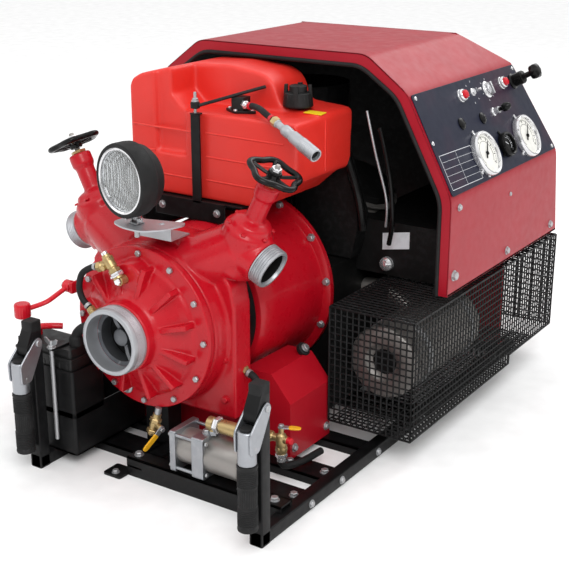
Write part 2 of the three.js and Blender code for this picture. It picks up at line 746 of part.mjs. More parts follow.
// The sloped plate with the fixed surrounds, collars and blank plugs that it carries.
function instrumentPanel() {
  const corners = [
    [526, 4],
    [1040, 4],
    [994, PANEL_HEIGHT - 4],
    [526, PANEL_HEIGHT - 4],
  ];
  const shape = new THREE.Shape(corners.map(([y, up]) => new THREE.Vector2(back(y), up)));
  const geometry = new THREE.ExtrudeGeometry(shape, { depth: PANEL_THICK, bevelEnabled: false });
  const basis = new THREE.Matrix4().makeBasis(vec(0, 1, 0), upPanel, PANEL_OUT);
  const foot = along(PANEL_FOOT, PANEL_OUT, GAP);
  const plate = solid(geometry.applyMatrix4(basis.setPosition(foot.x, 0, foot.z)));
  const low = FACE - 1;
  const fixed = [
    bossOnPanel(...START, low, FACE + 10, 13, 12),
    bossOnPanel(...STOP, low, FACE + 10, 13, 12),
    bossOnPanel(...TOGGLE, low, FACE + 5, 9, 12),
    bossOnPanel(...KEY, low, FACE + 4, 18, 14),
    bossOnPanel(...THROTTLE, low, FACE + 30, 17, 12),
    bossOnPanel(...CHOKE, low, FACE + 16, 9, 12),
    bossOnPanel(...PLUGS[0], low, FACE + 4, 12, 10),
    bossOnPanel(...PLUGS[1], low, FACE + 4, 12, 10),
  ];
  const bores = [
    bossOnPanel(...START, FACE, FACE + 20, 9, 12),
    bossOnPanel(...STOP, FACE, FACE + 20, 9, 12),
    bossOnPanel(...THROTTLE, FACE, FACE + 40, 6 + GAP, 10),
    bossOnPanel(...CHOKE, FACE, FACE + 30, 4 + GAP, 10),
  ];
  return cut(join(plate, fixed), bores);
}

function toggleLever() {
  return bossOnPanel(...TOGGLE, FACE + 5 + 2 * GAP, FACE + 20, 2, 10, 3);
}

function ignitionKey() {
  const [y, up] = KEY;
  const barrel = bossOnPanel(y, up, FACE + 4 + GAP, FACE + 9, 9, 20);
  const wing = rod(onPanel(y, up - 14, FACE + 11), onPanel(y, up + 14, FACE + 11), 4, 8);
  return join(barrel, wing);
}

// A push-pull control: its shaft slides in the collar on the panel.
function pullKnob([y, up], shaft, collar, knob, length) {
  const stem = bossOnPanel(y, up, FACE + 2, FACE + collar + length, shaft, 10);
  const start = FACE + collar + length - 4;
  const profile = [
    [0, start],
    [knob * 0.7, start],
    [knob, start + 6],
    [knob, start + 14],
    [knob * 0.6, start + 20],
    [0, start + 20],
  ];
  return join(stem, turned(profile, onPanel(y, up, 0), PANEL_OUT, 16));
}

// Wire guard round the exhaust, as a thin folded sheet whose underside steps up at the rear.
function exhaustGuard() {
  const { x0, x1, y0, y1, z0, z1 } = GUARD;
  const low = z0 + GUARD_STEP.up;
  const side = [[y0, z0], [GUARD_STEP.y, z0], [GUARD_STEP.y, low], [y1, low], [y1, z1], [y0, z1]];
  const w = GUARD_WALL;
  const step = GUARD_STEP.y - w;
  const floor = [[y0 + w, z0 + w], [step, z0 + w], [step, low + w], [GUARD_STEP.end, low + w]];
  const gap = [[GUARD_STEP.end, z0 - 30], [y1 - w, z0 - 30]];
  const inside = [...floor, ...gap, [y1 - w, z1 - w], [y0 + w, z1 - w]];
  return cut(slabX(side, x0, x1), slabX(inside, x0 - 20, x1 - w));
}

// ---- fuel tank and its fittings ------------------------------------------------------------
function fuelTank() {
  const outline = [
    [-239, 476],
    [76, 476],
    [130, 524],
    [154, 530],
    [156, 648],
    [64, 655],
    [46, 700],
    [20, 716],
    [-60, 726],
    [-150, 722],
    [-214, 706],
    [-236, 690],
  ];
  const body = slabY(outline, TANK_FRONT, TANK_BACK);
  const ledgeCut = [[-140, 800], [-140, 672], [-112, TANK_LEDGE], [260, TANK_LEDGE], [260, 800]];
  const ledge = slabY(ledgeCut, TANK_FRONT - 5, LEDGE_BACK);
  const right = slabY([[52, 800], [66, 652], [260, 652], [260, 800]], TANK_FRONT - 5, TANK_BACK + 5);
  const floor = TANK_FRONT + 12;
  const recessCut = [[TANK_FRONT - 5, 552], [floor, 560], [floor, 800], [TANK_FRONT - 5, 800]];
  const recess = slabX(recessCut, -172, -100);
  return cut(body, ledge, right, recess);
}

const CAP = { x: 92, y: back(450), z: 657 };

function fuelCap() {
  const foot = vec(CAP.x, CAP.y, CAP.z + GAP);
  const skirt = rod(foot, vec(CAP.x, CAP.y, CAP.z + 26), 29, 20, 26);
  const crown = rod(vec(CAP.x, CAP.y, CAP.z + 25), vec(CAP.x, CAP.y, CAP.z + 40), 17, 16, 15);
  const ears = [];
  for (let i = 0; i < 4; i += 1) {
    const angle = (i * Math.PI) / 2 + 0.4;
    const at = vec(CAP.x + 24 * Math.cos(angle), CAP.y + 24 * Math.sin(angle), CAP.z + 10);
    ears.push(rod(at, vec(at.x, at.y, CAP.z + 42), 5, 8));
  }
  return join(skirt, crown, ears);
}

// The tray under the tank with its upright strip and the threaded hold-down rod.
function tankBracket() {
  const y = TANK_FRONT;
  const shelf = box(-232, 40, y - 10, back(540), 471, 475);
  const lip = box(-168, 2, y - 14, y - 10 + 0.1, 436, 476);
  const upright = box(-75, -54, y - 14, y - 10 + 0.1, 470, 646);
  const rodUp = rod(vec(-64, y - 12, 640), vec(-64, y - 12, 686), 3, 8);
  const legs = [
    box(-232, -228, y, back(540), 440, 473),
    box(PUMP_X - 16, PUMP_X + 16, back(400), back(440), 444, 473),
  ];
  return join(shelf, lip, upright, rodUp, legs);
}

function tankStrap() {
  const y = TANK_FRONT - 12;
  const eye = rod(vec(-64, y, 655), vec(-64, y, 667), 9, 16);
  const bar = hose([[-58, y, 661], [-24, y + 30, 676], [10, y + 70, 690], [34, LEDGE_BACK - 6, 692]], 4.5, 8);
  const bore = rod(vec(-64, y, 600), vec(-64, y, 700), 3 + GAP, 10);
  return cut(join(eye, bar), bore);
}

const PICKUP = { x: 0, y: back(392) };

function fuelPickup() {
  const { x, y } = PICKUP;
  const z = TANK_LEDGE + GAP;
  const diamond = [
    [x - 36, y],
    [x - 8, y - 20],
    [x + 8, y - 20],
    [x + 36, y],
    [x + 8, y + 20],
    [x - 8, y + 20],
  ];
  const flange = slabZ(diamond, z, z + 5);
  const block = box(x - 14, x + 14, y - 14, y + 14, z + 4, z + 30);
  const nipple = rod(vec(x + 12, y - 8, z + 17), vec(x + 30, y - 16, z + 17), 5.5, 10);
  const nut = rod(vec(x + 12, y - 8, z + 17), vec(x + 20, y - 11.6, z + 17), 8.5, 6);
  return join(flange, block, nipple, nut);
}

const FUEL_HOSE = [
  [30.8, back(375.6), 662.4],
  [46, back(368.8), 664],
  [70, back(354), 664],
  [92, back(340), 660],
  [113, back(333), 652],
];

function fuelCoupling() {
  const path = hosePath(FUEL_HOSE);
  const profile = [
    [0, GAP],
    [9, GAP],
    [9, 14],
    [7, 16],
    [7, 30],
    [10, 36],
    [12, 84],
    [13, 92],
    [13, 128],
    [9, 128],
    [9, 120],
    [0, 120],
  ];
  return turned(profile, path.getPoint(1), path.getTangent(1), 16);
}

// ---- battery -------------------------------------------------------------------------------
const BATTERY = { x0: -292, x1: -148, y0: back(46), y1: back(118), z0: TRAY_FLOOR + GAP, z1: 236 };

function battery() {
  const { x0, x1, y0, y1, z0, z1 } = BATTERY;
  const body = box(x0, x1, y0, y1, z0, z1 - 20);
  const lid = box(x0 + 3, x1 - 3, y0 + 3, y1 - 3, z1 - 20, z1);
  const posts = [x0 + 24, x1 - 16].map((x) => rod(vec(x, y0 + 34, z1 - 2), vec(x, y0 + 34, z1 + 16), 8, 12));
  return join(body, lid, posts);
}

const CLAMP_X = -185;

function batteryClamp() {
  const { y0, y1, z1 } = BATTERY;
  const z = z1 + GAP;
  const bar = box(CLAMP_X - 9, CLAMP_X + 9, y0 - 16, y1, z, z + 4);
  const foot = vec(CLAMP_X, y0 - 10, TRAY_TOP - 60);
  const rodDown = rod(foot, vec(CLAMP_X, y0 - 10, z + 16), 4, 8);
  return join(bar, rodDown);
}

// ---- priming pump, drain valves and plumbing -----------------------------------------------
function primingPump() {
  const y = back(112);
  const z = 80;
  const parts = [];
  for (const [x, width] of [[58, 13], [108, 26]]) {
    parts.push(box(x, x + width, y - 37, y + 37, 38 + GAP, 120));
  }
  parts.push(rod(vec(60, y, z), vec(110, y, z), 34, 16));
  parts.push(rod(vec(132, y, z), vec(214, y, z), 36, 24));
  parts.push(rod(vec(214, y, z), vec(220, y, z), 24, 16));
  parts.push(rod(vec(132, y, 118), vec(132, y, 138), 8, 10));
  parts.push(rod(vec(122, y, 138), vec(212, y, 138), 12, 12));
  parts.push(rod(vec(138, y, 138), vec(148, y, 138), 15, 6));
  return join(parts);
}

const DRAIN = { x: PUMP_X + 34, y: back(128), z: 100 };
const DRAIN_GLAND = vec(DRAIN.x + 14, DRAIN.y - 8, DRAIN.z - 10); // where the lever pivots
const DRAIN_AXIS = vec(0.95, -0.3, -0.2).normalize();

function drainValve() {
  const { x, y, z } = DRAIN;
  const body = rod(vec(x, y, z + 14), vec(x - 12, y - 6, z - 30), 9.5, 12);
  const collars = [
    rod(vec(x - 3, y - 1.5, z), vec(x - 6, y - 3, z - 10), 12, 6),
    rod(vec(x - 10, y - 5, z - 22), vec(x - 12, y - 6, z - 31), 12, 6),
  ];
  const gland = rod(vec(x - 5, y - 2, z - 6), DRAIN_GLAND, 6, 10);
  return join(body, collars, gland);
}

function ballLever(pivot, axis, arm, width) {
  const start = along(pivot, axis, GAP + 0.2);
  const end = start.clone().add(arm);
  const side = axis.clone().cross(arm).normalize().multiplyScalar(width / 2);
  const basis = new THREE.Matrix4();
  basis.makeBasis(arm.clone().normalize(), side.clone().normalize(), axis.clone().normalize());
  const blade = new THREE.BoxGeometry(arm.length(), width, 3);
  blade.translate(arm.length() / 2, 0, 1.5);
  const bar = solid(blade.applyMatrix4(basis.setPosition(start.x, start.y, start.z)));
  const hub = rod(start, along(start, axis, 5), width * 0.62, 12);
  return join(bar, hub);
}

const PRIMER_VALVE = { x: 216, y: back(206), z: 104 };
const PRIMER_GLAND = vec(PRIMER_VALVE.x, PRIMER_VALVE.y, PRIMER_VALVE.z + 10);

function primerValve() {
  const { x, y, z } = PRIMER_VALVE;
  const body = rod(vec(x, y, z - 50), vec(x, y, z), 10, 12);
  const elbow = rod(vec(x - 30, y, z - 12), vec(x + 14, y, z - 12), 9, 12);
  const gland = rod(vec(x, y, z - 1), vec(x, y, z + 10), 5, 10);
  return join(body, elbow, gland);
}

// The brass tee and gauge-line valve on the upper left of the pump.
function brassManifold() {
  const y = back(90);
  const body = rod(vec(-88, y, 424), vec(-58, y, 384), 10, 12);
  const branch = rod(vec(-108, y, 398), vec(-74, y, 406), 9, 12);
  const nut = rod(vec(-64, y, 392), vec(-54, y, 378), 12, 6);
  const boss = rod(vec(-56, y - 4, 380), vec(-56, back(104) - GAP, 380), 9, 12);
  return join(body, branch, nut, boss);
}

// Where each rubber line runs; both ends stand just off their fittings.
const LINES = {
  line_gauge: {
    radius: 6,
    points: [
      [-108.7, back(90), 397.8],
      [-123, back(90), 394],
      [-146, back(88), 378],
      [-151, back(84), 352],
      [-142, back(82), 331],
      [-125, back(81), 318],
    ],
  },
  line_primer: {
    radius: 7,
    points: [
      [129.4, back(222), 199],
      [148, back(221), 191],
      [157, back(219), 170],
      [157, back(211), 122],
      [166, back(207), 101],
      [182.6, back(206), 93],
    ],
  },
  line_drain: {
    radius: 7,
    points: [
      [216, back(206), 53.4],
      [216, back(206.5), 44],
      [220, back(216), 34],
      [232, back(250), 31],
      [238, back(310), 30],
    ],
  },
};

// Red hand lever with its cylindrical knob.
function primerArm() {
  const { x, y, z } = PRIMER_ARM;
  const knee = vec(x - 6, back(70), z - 16);
  const end = vec(-254, back(36), 300);
  const knob = rod(vec(-254, back(36), 286), vec(-254, back(36), 314), 16, 16);
  const hub = rod(vec(x - 9, y, z), vec(x + 7, y, z), 12, 16);
  return join(rod(vec(x, y, z), knee, 5, 8), rod(knee, end, 5, 8), knob, hub);
}

// ---- the whole machine ---------------------------------------------------------------------
const LEFT = -1;
const RIGHT = 1;

node("base_frame", baseFrame(), "black");
node("rear_panel", rearPanel(), "hoodRed");
for (const [word, side] of [["left", LEFT], ["right", RIGHT]]) {
  node(`handle_${word}`, handleCasting(side), "alloy");
  node(`grip_${word}`, handleGrip(side), "rubber");
  node(`discharge_ring_${word}`, dischargeRing(side), "alloy");
  node(`valve_stem_${word}`, valveStem(side), "steel");
  node(`valve_wheel_${word}`, handwheel(side), "black");
}
node("pump_casing", pumpCasing(), "pumpRed");
node("suction_cover", suctionCover(), "pumpRed");
node("suction_ring", suctionRing(), "alloy");
node("inlet_web", inletWeb(), "steel");
node("impeller", impeller(), "steel");
node("lamp_plate", lampPlate(), "steel");
node("lamp_yoke", lampYoke(), "steel");
node("lamp_housing", lampHousing(), "rubber");
node("lamp_lens", lampLens(), "lens");
node("bell_housing", bellHousing(), "pumpRed");
node("pedestal", pedestal(), "pumpRed");
node("engine_block", engineBlock(), "engineBlack");
node("engine_shroud", engineShroud(), "engineBlack");
node("muffler", mufflerCan(), "steel");
node("exhaust_guard", exhaustGuard(), "black");
node("hood", hood(), "hoodRed");
node("instrument_panel", instrumentPanel(), "panel");
node("gauge_suction", gauge(GAUGES.suction), "white");
node("gauge_discharge", gauge(GAUGES.discharge), "white");
node("needle_suction", needle(GAUGES.suction), "black");
node("needle_discharge", needle(GAUGES.discharge), "black");
node("tachometer", tachometer(), "black");
node("start_button", pushButton(START), "buttonRed");
node("stop_button", pushButton(STOP), "buttonRed");
node("toggle_lever", toggleLever(), "chrome");
node("ignition_key", ignitionKey(), "chrome");
node("choke_knob", pullKnob(CHOKE, 4, 16, 9, 10), "black");
node("throttle_knob", pullKnob(THROTTLE, 6, 30, 17, 20), "black");
node("fuel_tank", fuelTank(), "tankRed");
node("fuel_cap", fuelCap(), "black");
node("tank_bracket", tankBracket(), "black");
node("tank_strap", tankStrap(), "rubber");
node("fuel_pickup", fuelPickup(), "black");
node("fuel_hose", hose(FUEL_HOSE, 6, 6), "rubber");
node("fuel_coupling", fuelCoupling(), "alloy");
node("battery", battery(), "black");
node("battery_clamp", batteryClamp(), "steel");
node("priming_pump", primingPump(), "steel");
node("drain_valve", drainValve(), "brass");
node("drain_lever", ballLever(DRAIN_GLAND, DRAIN_AXIS, vec(-16, -34, -36), 10), "yellow");
node("primer_valve", primerValve(), "brass");
node("primer_lever", ballLever(PRIMER_GLAND, vec(0, 0, 1), vec(34, 14, 0), 10), "yellow");
node("brass_manifold", brassManifold(), "brass");
node("primer_arm", primerArm(), "buttonRed");
for (const [name, line] of Object.entries(LINES)) node(name, hose(line.points, line.radius, 14), "rubber");

export default machine;
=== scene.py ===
"""Portable fire pump: the looks of every piece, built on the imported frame, in one shared frame."""

import math

import bmesh
import bpy
from mathutils import Matrix, Vector


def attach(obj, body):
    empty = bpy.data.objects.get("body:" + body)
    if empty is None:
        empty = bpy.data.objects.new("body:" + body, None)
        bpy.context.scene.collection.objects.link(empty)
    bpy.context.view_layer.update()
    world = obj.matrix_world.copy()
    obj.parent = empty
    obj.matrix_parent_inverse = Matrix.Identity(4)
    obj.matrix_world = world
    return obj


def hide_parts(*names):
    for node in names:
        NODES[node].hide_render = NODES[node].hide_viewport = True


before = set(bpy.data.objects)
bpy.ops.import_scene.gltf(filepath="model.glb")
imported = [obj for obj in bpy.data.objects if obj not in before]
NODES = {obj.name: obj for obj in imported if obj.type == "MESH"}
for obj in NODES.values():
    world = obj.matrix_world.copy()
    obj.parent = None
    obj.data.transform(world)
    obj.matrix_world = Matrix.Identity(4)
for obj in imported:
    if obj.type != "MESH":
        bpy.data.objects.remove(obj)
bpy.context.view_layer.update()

# ---- driving dimensions, in millimetres on the machine's own plan ----------------------------
MIDDLE_X = 4.85  # the plan's x at the frame's origin
FRONT = -527.5  # front face of the front posts
RAIL = 26
RAIL_X = (-210, 302)  # centre lines of the side rails
RAIL_BACK = 1060
POST_DEPTH = 26
POST_HEIGHT = 296
PUMP_X = -46
PUMP_Z = 278
VALVE_OUT = 163
VALVE_TILT = math.radians(26.5)
VALVE_Y = 228
VALVE_Z = 440
WHEEL_DISTANCE = 160
HOOD_FRONT = 521
HOOD_HALF = (387, 288, 197)
HOOD_Z = (307, 500, 688, 755)
HOOD_REAR = (1080, 1048, 1000, 910)
HOOD_LIP = 22
TANK_FRONT = 345
TANK_BACK = 548
TANK_LEDGE = 645
LAMP = Vector((-36, 84 + FRONT, 567))
LAMP_PIVOT_Y = LAMP.y + 36
LAMP_PIVOT_Z = 492
LAMP_TURN = math.radians(-11)
PLATE_TOP = 484
VANE_TILT = 1.15  # radians from level to the inlet vane
RIGHT = Vector((1, 0, 0))
BACKWARD = Vector((0, 1, 0))
FORWARD = -BACKWARD
UP = Vector((0, 0, 1))


def back(distance):
    """y at a distance behind the front posts."""
    return FRONT + distance


def metres(point):
    """A point of the plan as a point of the frame."""
    return Vector((point[0] - MIDDLE_X, point[1], point[2])) / 1000


# ---- camera ---------------------------------------------------------------------------------
def add_camera():
    data = bpy.data.cameras.new("camera")
    data.sensor_width = 36
    data.lens = 74.1
    data.clip_end = 50
    camera = bpy.data.objects.new("camera", data)
    camera.location = (1.2912, -1.9365, 1.061)
    camera.rotation_euler = (math.radians(90 - 19), 0, math.radians(33.6))
    bpy.context.scene.collection.objects.link(camera)
    bpy.context.scene.camera = camera


add_camera()


# ---- materials -------------------------------------------------------------------------------
def linear(code):
    """An sRGB colour written as 0xRRGGBB, as linear light."""
    parts = [(code >> shift & 255) / 255 for shift in (16, 8, 0)]
    return [p / 12.92 if p <= 0.04045 else ((p + 0.055) / 1.055) ** 2.4 for p in parts]


class Surface:
    """A node material: varied colour, varied roughness, fine bump, and pale edges for wear and for painted
    edge highlights.
    """

    def __init__(self, name, colour, rough, metallic=0.0):
        self.material = bpy.data.materials.new(name)
        self.material.use_nodes = True
        self.tree = self.material.node_tree
        self.shader = self.tree.nodes["Principled BSDF"]
        self.shader.inputs["Metallic"].default_value = metallic
        self.place = self.new("ShaderNodeTexCoord").outputs["Object"]
        self.colour = None
        self.bumps = None
        low, high = (0.86, 1.1) if metallic < 0.5 else (0.8, 1.08)
        base = linear(colour)
        dark = [min(1, c * low) for c in base]
        light = [min(1, c * high + 0.004) for c in base]
        self.colour = self.mixed(self.noise(14, 4), dark, light)
        self.link(self.colour, self.shader.inputs["Base Color"])
        self.roughness(rough)

    def new(self, kind, **settings):
        node = self.tree.nodes.new(kind)
        for key, value in settings.items():
            setattr(node, key, value)
        return node

    def link(self, source, target):
        self.tree.links.new(source, target)

    def noise(self, scale, detail=3, stretch=None):
        node = self.new("ShaderNodeTexNoise")
        node.inputs["Scale"].default_value = scale
        node.inputs["Detail"].default_value = detail
        place = self.place
        if stretch:
            mapping = self.new("ShaderNodeMapping")
            mapping.inputs["Scale"].default_value = stretch
            self.link(place, mapping.inputs["Vector"])
            place = mapping.outputs["Vector"]
        self.link(place, node.inputs["Vector"])
        return node.outputs["Fac"]

    def ramp(self, value, start, end, low=0.0, high=1.0):
        node = self.new("ShaderNodeMapRange")
        node.inputs["From Min"].default_value = start
        node.inputs["From Max"].default_value = end
        node.inputs["To Min"].default_value = low
        node.inputs["To Max"].default_value = high
        self.link(value, node.inputs["Value"])
        return node.outputs["Result"]

    def mixed(self, factor, first, second):
        node = self.new("ShaderNodeMix", data_type="RGBA")
        self.link(factor, node.inputs["Factor"])
        for socket, value in ((node.inputs["A"], first), (node.inputs["B"], second)):
            colour_socket = socket
            for candidate in node.inputs:
                if candidate.name == socket.name and candidate.type == "RGBA":
                    colour_socket = candidate
            if isinstance(value, bpy.types.NodeSocket):
                self.link(value, colour_socket)
            else:
                colour_socket.default_value = (*value, 1)
        return next(out for out in node.outputs if out.type == "RGBA")

    def roughness(self, rough):
        low, high = rough
        value = self.ramp(self.noise(55, 5), 0.3, 0.7, low, high)
        self.link(value, self.shader.inputs["Roughness"])

    def bump(self, height, strength, distance=0.001):
        node = self.new("ShaderNodeBump")
        node.inputs["Strength"].default_value = strength
        node.inputs["Distance"].default_value = distance
        self.link(height, node.inputs["Height"])
        if self.bumps:
            self.link(self.bumps, node.inputs["Normal"])
        self.bumps = node.outputs["Normal"]
        self.link(self.bumps, self.shader.inputs["Normal"])
        return self

    def edge_wear_and_highlight(self, colour, amount=0.5, start=0.54):
        """Paler or bare edges, broken up by noise: wear on paint and plastic, a painted edge highlight on
        cast metal.
        """
        edge = self.ramp(self.new("ShaderNodeNewGeometry").outputs["Pointiness"], start, start + 0.06)
        patches = self.ramp(self.noise(90, 6), 0.48, 0.62)
        both = self.new("ShaderNodeMath", operation="MULTIPLY")
        self.link(edge, both.inputs[0])
        self.link(patches, both.inputs[1])
        part = self.ramp(both.outputs["Value"], 0, 1, 0, amount)
        self.colour = self.mixed(part, self.colour, linear(colour))
        self.link(self.colour, self.shader.inputs["Base Color"])
        return self

    def dusty(self, colour, amount=0.25):
        """Patches of dust and handling marks."""
        part = self.ramp(self.noise(7, 8), 0.5, 0.75, 0, amount)
        self.colour = self.mixed(part, self.colour, linear(colour))
        self.link(self.colour, self.shader.inputs["Base Color"])
        return self

    def shine(self, level):
        """The strength of plain reflection."""
        self.shader.inputs["Specular IOR Level"].default_value = level
        return self

    def coat(self, weight, rough=0.08):
        self.shader.inputs["Coat Weight"].default_value = weight
        self.shader.inputs["Coat Roughness"].default_value = rough
        return self


def cast_paint(name, colour):
    made = Surface(name, colour, (0.24, 0.36)).coat(0.2).shine(0.25)
    made.bump(made.noise(260, 3), 0.1, 0.0005)
    made.bump(made.noise(38, 4), 0.05, 0.001)
    return made.edge_wear_and_highlight(0xD85C66, 0.12).dusty(0x8A1220, 0.3).material


def sheet_paint(name, colour, rough=(0.34, 0.44)):
    made = Surface(name, colour, rough).coat(0.08, 0.2).shine(0.2)
    made.bump(made.noise(420, 2), 0.03, 0.0002)
    return made.dusty(0x8C1A2C, 0.12).material


def black_paint(name, rough=(0.32, 0.5), colour=0x070708):
    made = Surface(name, colour, rough).shine(0.2)
    made.bump(made.noise(300, 3), 0.06, 0.0004)
    return made.edge_wear_and_highlight(0x303032, 0.2).dusty(0x121110, 0.2).material


def bright_metal(name, colour, rough, grain=None):
    made = Surface(name, colour, rough, 0.75)
    if grain:
        made.bump(made.noise(30, 4, grain), 0.05, 0.0003)
    made.bump(made.noise(220, 4), 0.03, 0.0003)
    return made.dusty(0x85817C, 0.12).material


def cast_metal(name, colour, rough):
    made = Surface(name, colour, rough, 0.9)
    made.bump(made.noise(380, 4), 0.18, 0.0005)
    # the bright pale edges here are a painted edge highlight; the patches are dust
    return made.edge_wear_and_highlight(0xD8D8D8, 0.4, 0.54).dusty(0x66635F, 0.2).material


def moulded(name, colour, rough, grain=500, depth=0.2):
    made = Surface(name, colour, rough).shine(0.35)
    made.bump(made.noise(grain, 3), depth / 2, 0.0004)
    return made.edge_wear_and_highlight(0x6A6A6C, 0.1, 0.56).dusty(0x3A3836, 0.05).material


def tank_plastic():
    made = Surface("tank_plastic", 0xD82A20, (0.36, 0.52))
    made.shader.inputs["Subsurface Weight"].default_value = 0.12
    made.shader.inputs["Subsurface Radius"].default_value = (0.01, 0.002, 0.001)
    made.bump(made.noise(600, 3), 0.1, 0.0004)
    made.bump(made.noise(22, 3), 0.1, 0.0012)
    return made.edge_wear_and_highlight(0xE86858, 0.15).dusty(0xC02820, 0.25).material


def glass(name):
    made = Surface(name, 0xF2F6F8, (0.02, 0.06))
    made.shader.inputs["Transmission Weight"].default_value = 0.95
    made.shader.inputs["IOR"].default_value = 1.45
    return made.material


PUMP_RED = cast_paint("pump_red", 0xB4061A)
HOOD_RED = sheet_paint("hood_red", 0x9A0C20)
SHEET_RED = sheet_paint("sheet_red", 0xA80A1C)
BLACK = black_paint("black_paint")
ENGINE_BLACK = black_paint("engine_black", (0.5, 0.65), 0x040404)
GLOSS_BLACK = black_paint("gloss_black", (0.16, 0.28), 0x060606)
# matte black for black needles and print, and for painted shade: discs in bores, sheets inside the hood and
# guard
INNER_BLACK = black_paint("inner_black", (0.7, 0.85), 0x040404)
RUBBER = moulded("rubber", 0x0A0A0B, (0.6, 0.8), 700, 0.3)
PLASTIC = moulded("black_plastic", 0x090909, (0.38, 0.55))
ALLOY = bright_metal("machined_alloy", 0xB4B6BA, (0.4, 0.5), (1, 30, 1))
CAST_ALLOY = cast_metal("cast_alloy", 0xA4A7AC, (0.3, 0.45))
CAST_GREY = cast_metal("cast_grey", 0x6E7074, (0.45, 0.6))
ZINC = bright_metal("zinc_plate", 0xB0B1B3, (0.34, 0.46))
CHROME = bright_metal("chrome_plate", 0xE6E6E8, (0.05, 0.14))
STEEL = bright_metal("dull_steel", 0x9C9894, (0.34, 0.5), (20, 1, 1))
BRASS = bright_metal("brass", 0xB8A070, (0.24, 0.42))
BRONZE = bright_metal("bronze", 0x9A7444, (0.35, 0.5))
TANK_RED = tank_plastic()
PANEL_BLUE = sheet_paint("panel_blue", 0x171B2E, (0.34, 0.5))
WHITE = moulded("white_enamel", 0xE6E5DE, (0.3, 0.42), 300, 0.05)
LABEL_WHITE = moulded("white_print", 0xD2D4D8, (0.4, 0.5), 300, 0.05)
LABEL_YELLOW = moulded("yellow_label", 0xE8C81E, (0.35, 0.5), 300, 0.1)
YELLOW = moulded("yellow_vinyl", 0xE3A81C, (0.35, 0.5), 300, 0.2)
RED_PLASTIC = moulded("red_plastic", 0xC01022, (0.2, 0.32), 300, 0.08)
GLASS = glass("clear_glass")

# the slot of each material, wherever a piece asks for no other
USUAL_SLOT = {
    RUBBER: "hose_rubber",
    ALLOY: "ring_alloy",
    BRASS: "brass",
    INNER_BLACK: "hose_rubber",
    BLACK: "frame_black",
    ZINC: "bright_steel",
    PUMP_RED: "pump_red",
    GLOSS_BLACK: "knob_black",
    CHROME: "chrome",
    LABEL_WHITE: "dial_white",
    RED_PLASTIC: "button_red",
    TANK_RED: "tank_red",
    PLASTIC: "cap_black",
}


# ---- mesh building ---------------------------------------------------------------------------
def frame_of(axis):
    """Two directions square to an axis, and the axis."""
    axis = Vector(axis).normalized()
    helper = UP if abs(axis.z) < 0.9 else RIGHT
    side = axis.cross(helper).normalized()
    return side, axis.cross(side), axis


def rect(x0, x1, y0, y1):
    """Four corners of a rectangle, in order round it."""
    return [(x0, y0), (x1, y0), (x1, y1), (x0, y1)]


def circle(centre, side, over, radius, count, start=0.0):
    """Points round a centre; the radius may be a function of the angle."""
    points = []
    for k in range(count):
        angle = 2 * math.pi * k / count + start
        reach = radius(angle) if callable(radius) else radius
        points.append(centre + (side * math.cos(angle) + over * math.sin(angle)) * reach)
    return points


def fillet(before, corner, after, radius, steps):
    """Points on a curve that rounds one corner."""
    first = corner + (before - corner).normalized() * radius
    last = corner + (after - corner).normalized() * radius
    parts = [k / steps for k in range(steps + 1)]
    return [first * (1 - t) ** 2 + corner * 2 * t * (1 - t) + last * t**2 for t in parts]


def rounded(outline, radius, steps=4):
    """An outline with every corner rounded."""
    points = [Vector(p) for p in outline]
    made = []
    for i, corner in enumerate(points):
        before, after = points[i - 1], points[(i + 1) % len(points)]
        reach = min(radius, (before - corner).length * 0.45, (after - corner).length * 0.45)
        made += fillet(before, corner, after, reach, steps)
    return made


def smooth_path(points, steps=8, closed=False):
    """A Catmull-Rom curve through points."""
    points = [Vector(p) for p in points]
    count = len(points)
    made = []
    for i in range(count if closed else count - 1):
        if closed:
            quad = [points[(i + k) % count] for k in (-1, 0, 1, 2)]
        else:
            quad = [points[max(0, min(count - 1, i + k))] for k in (-1, 0, 1, 2)]
        a, b, c, d = quad
        for k in range(steps):
            t = k / steps
            part = (
                b * 2 + (c - a) * t + (a * 2 - b * 5 + c * 4 - d) * t**2 + (b * 3 - a - c * 3 + d) * t**3
            ) / 2
            made.append(part)
    if not closed:
        made.append(points[-1])
    return made


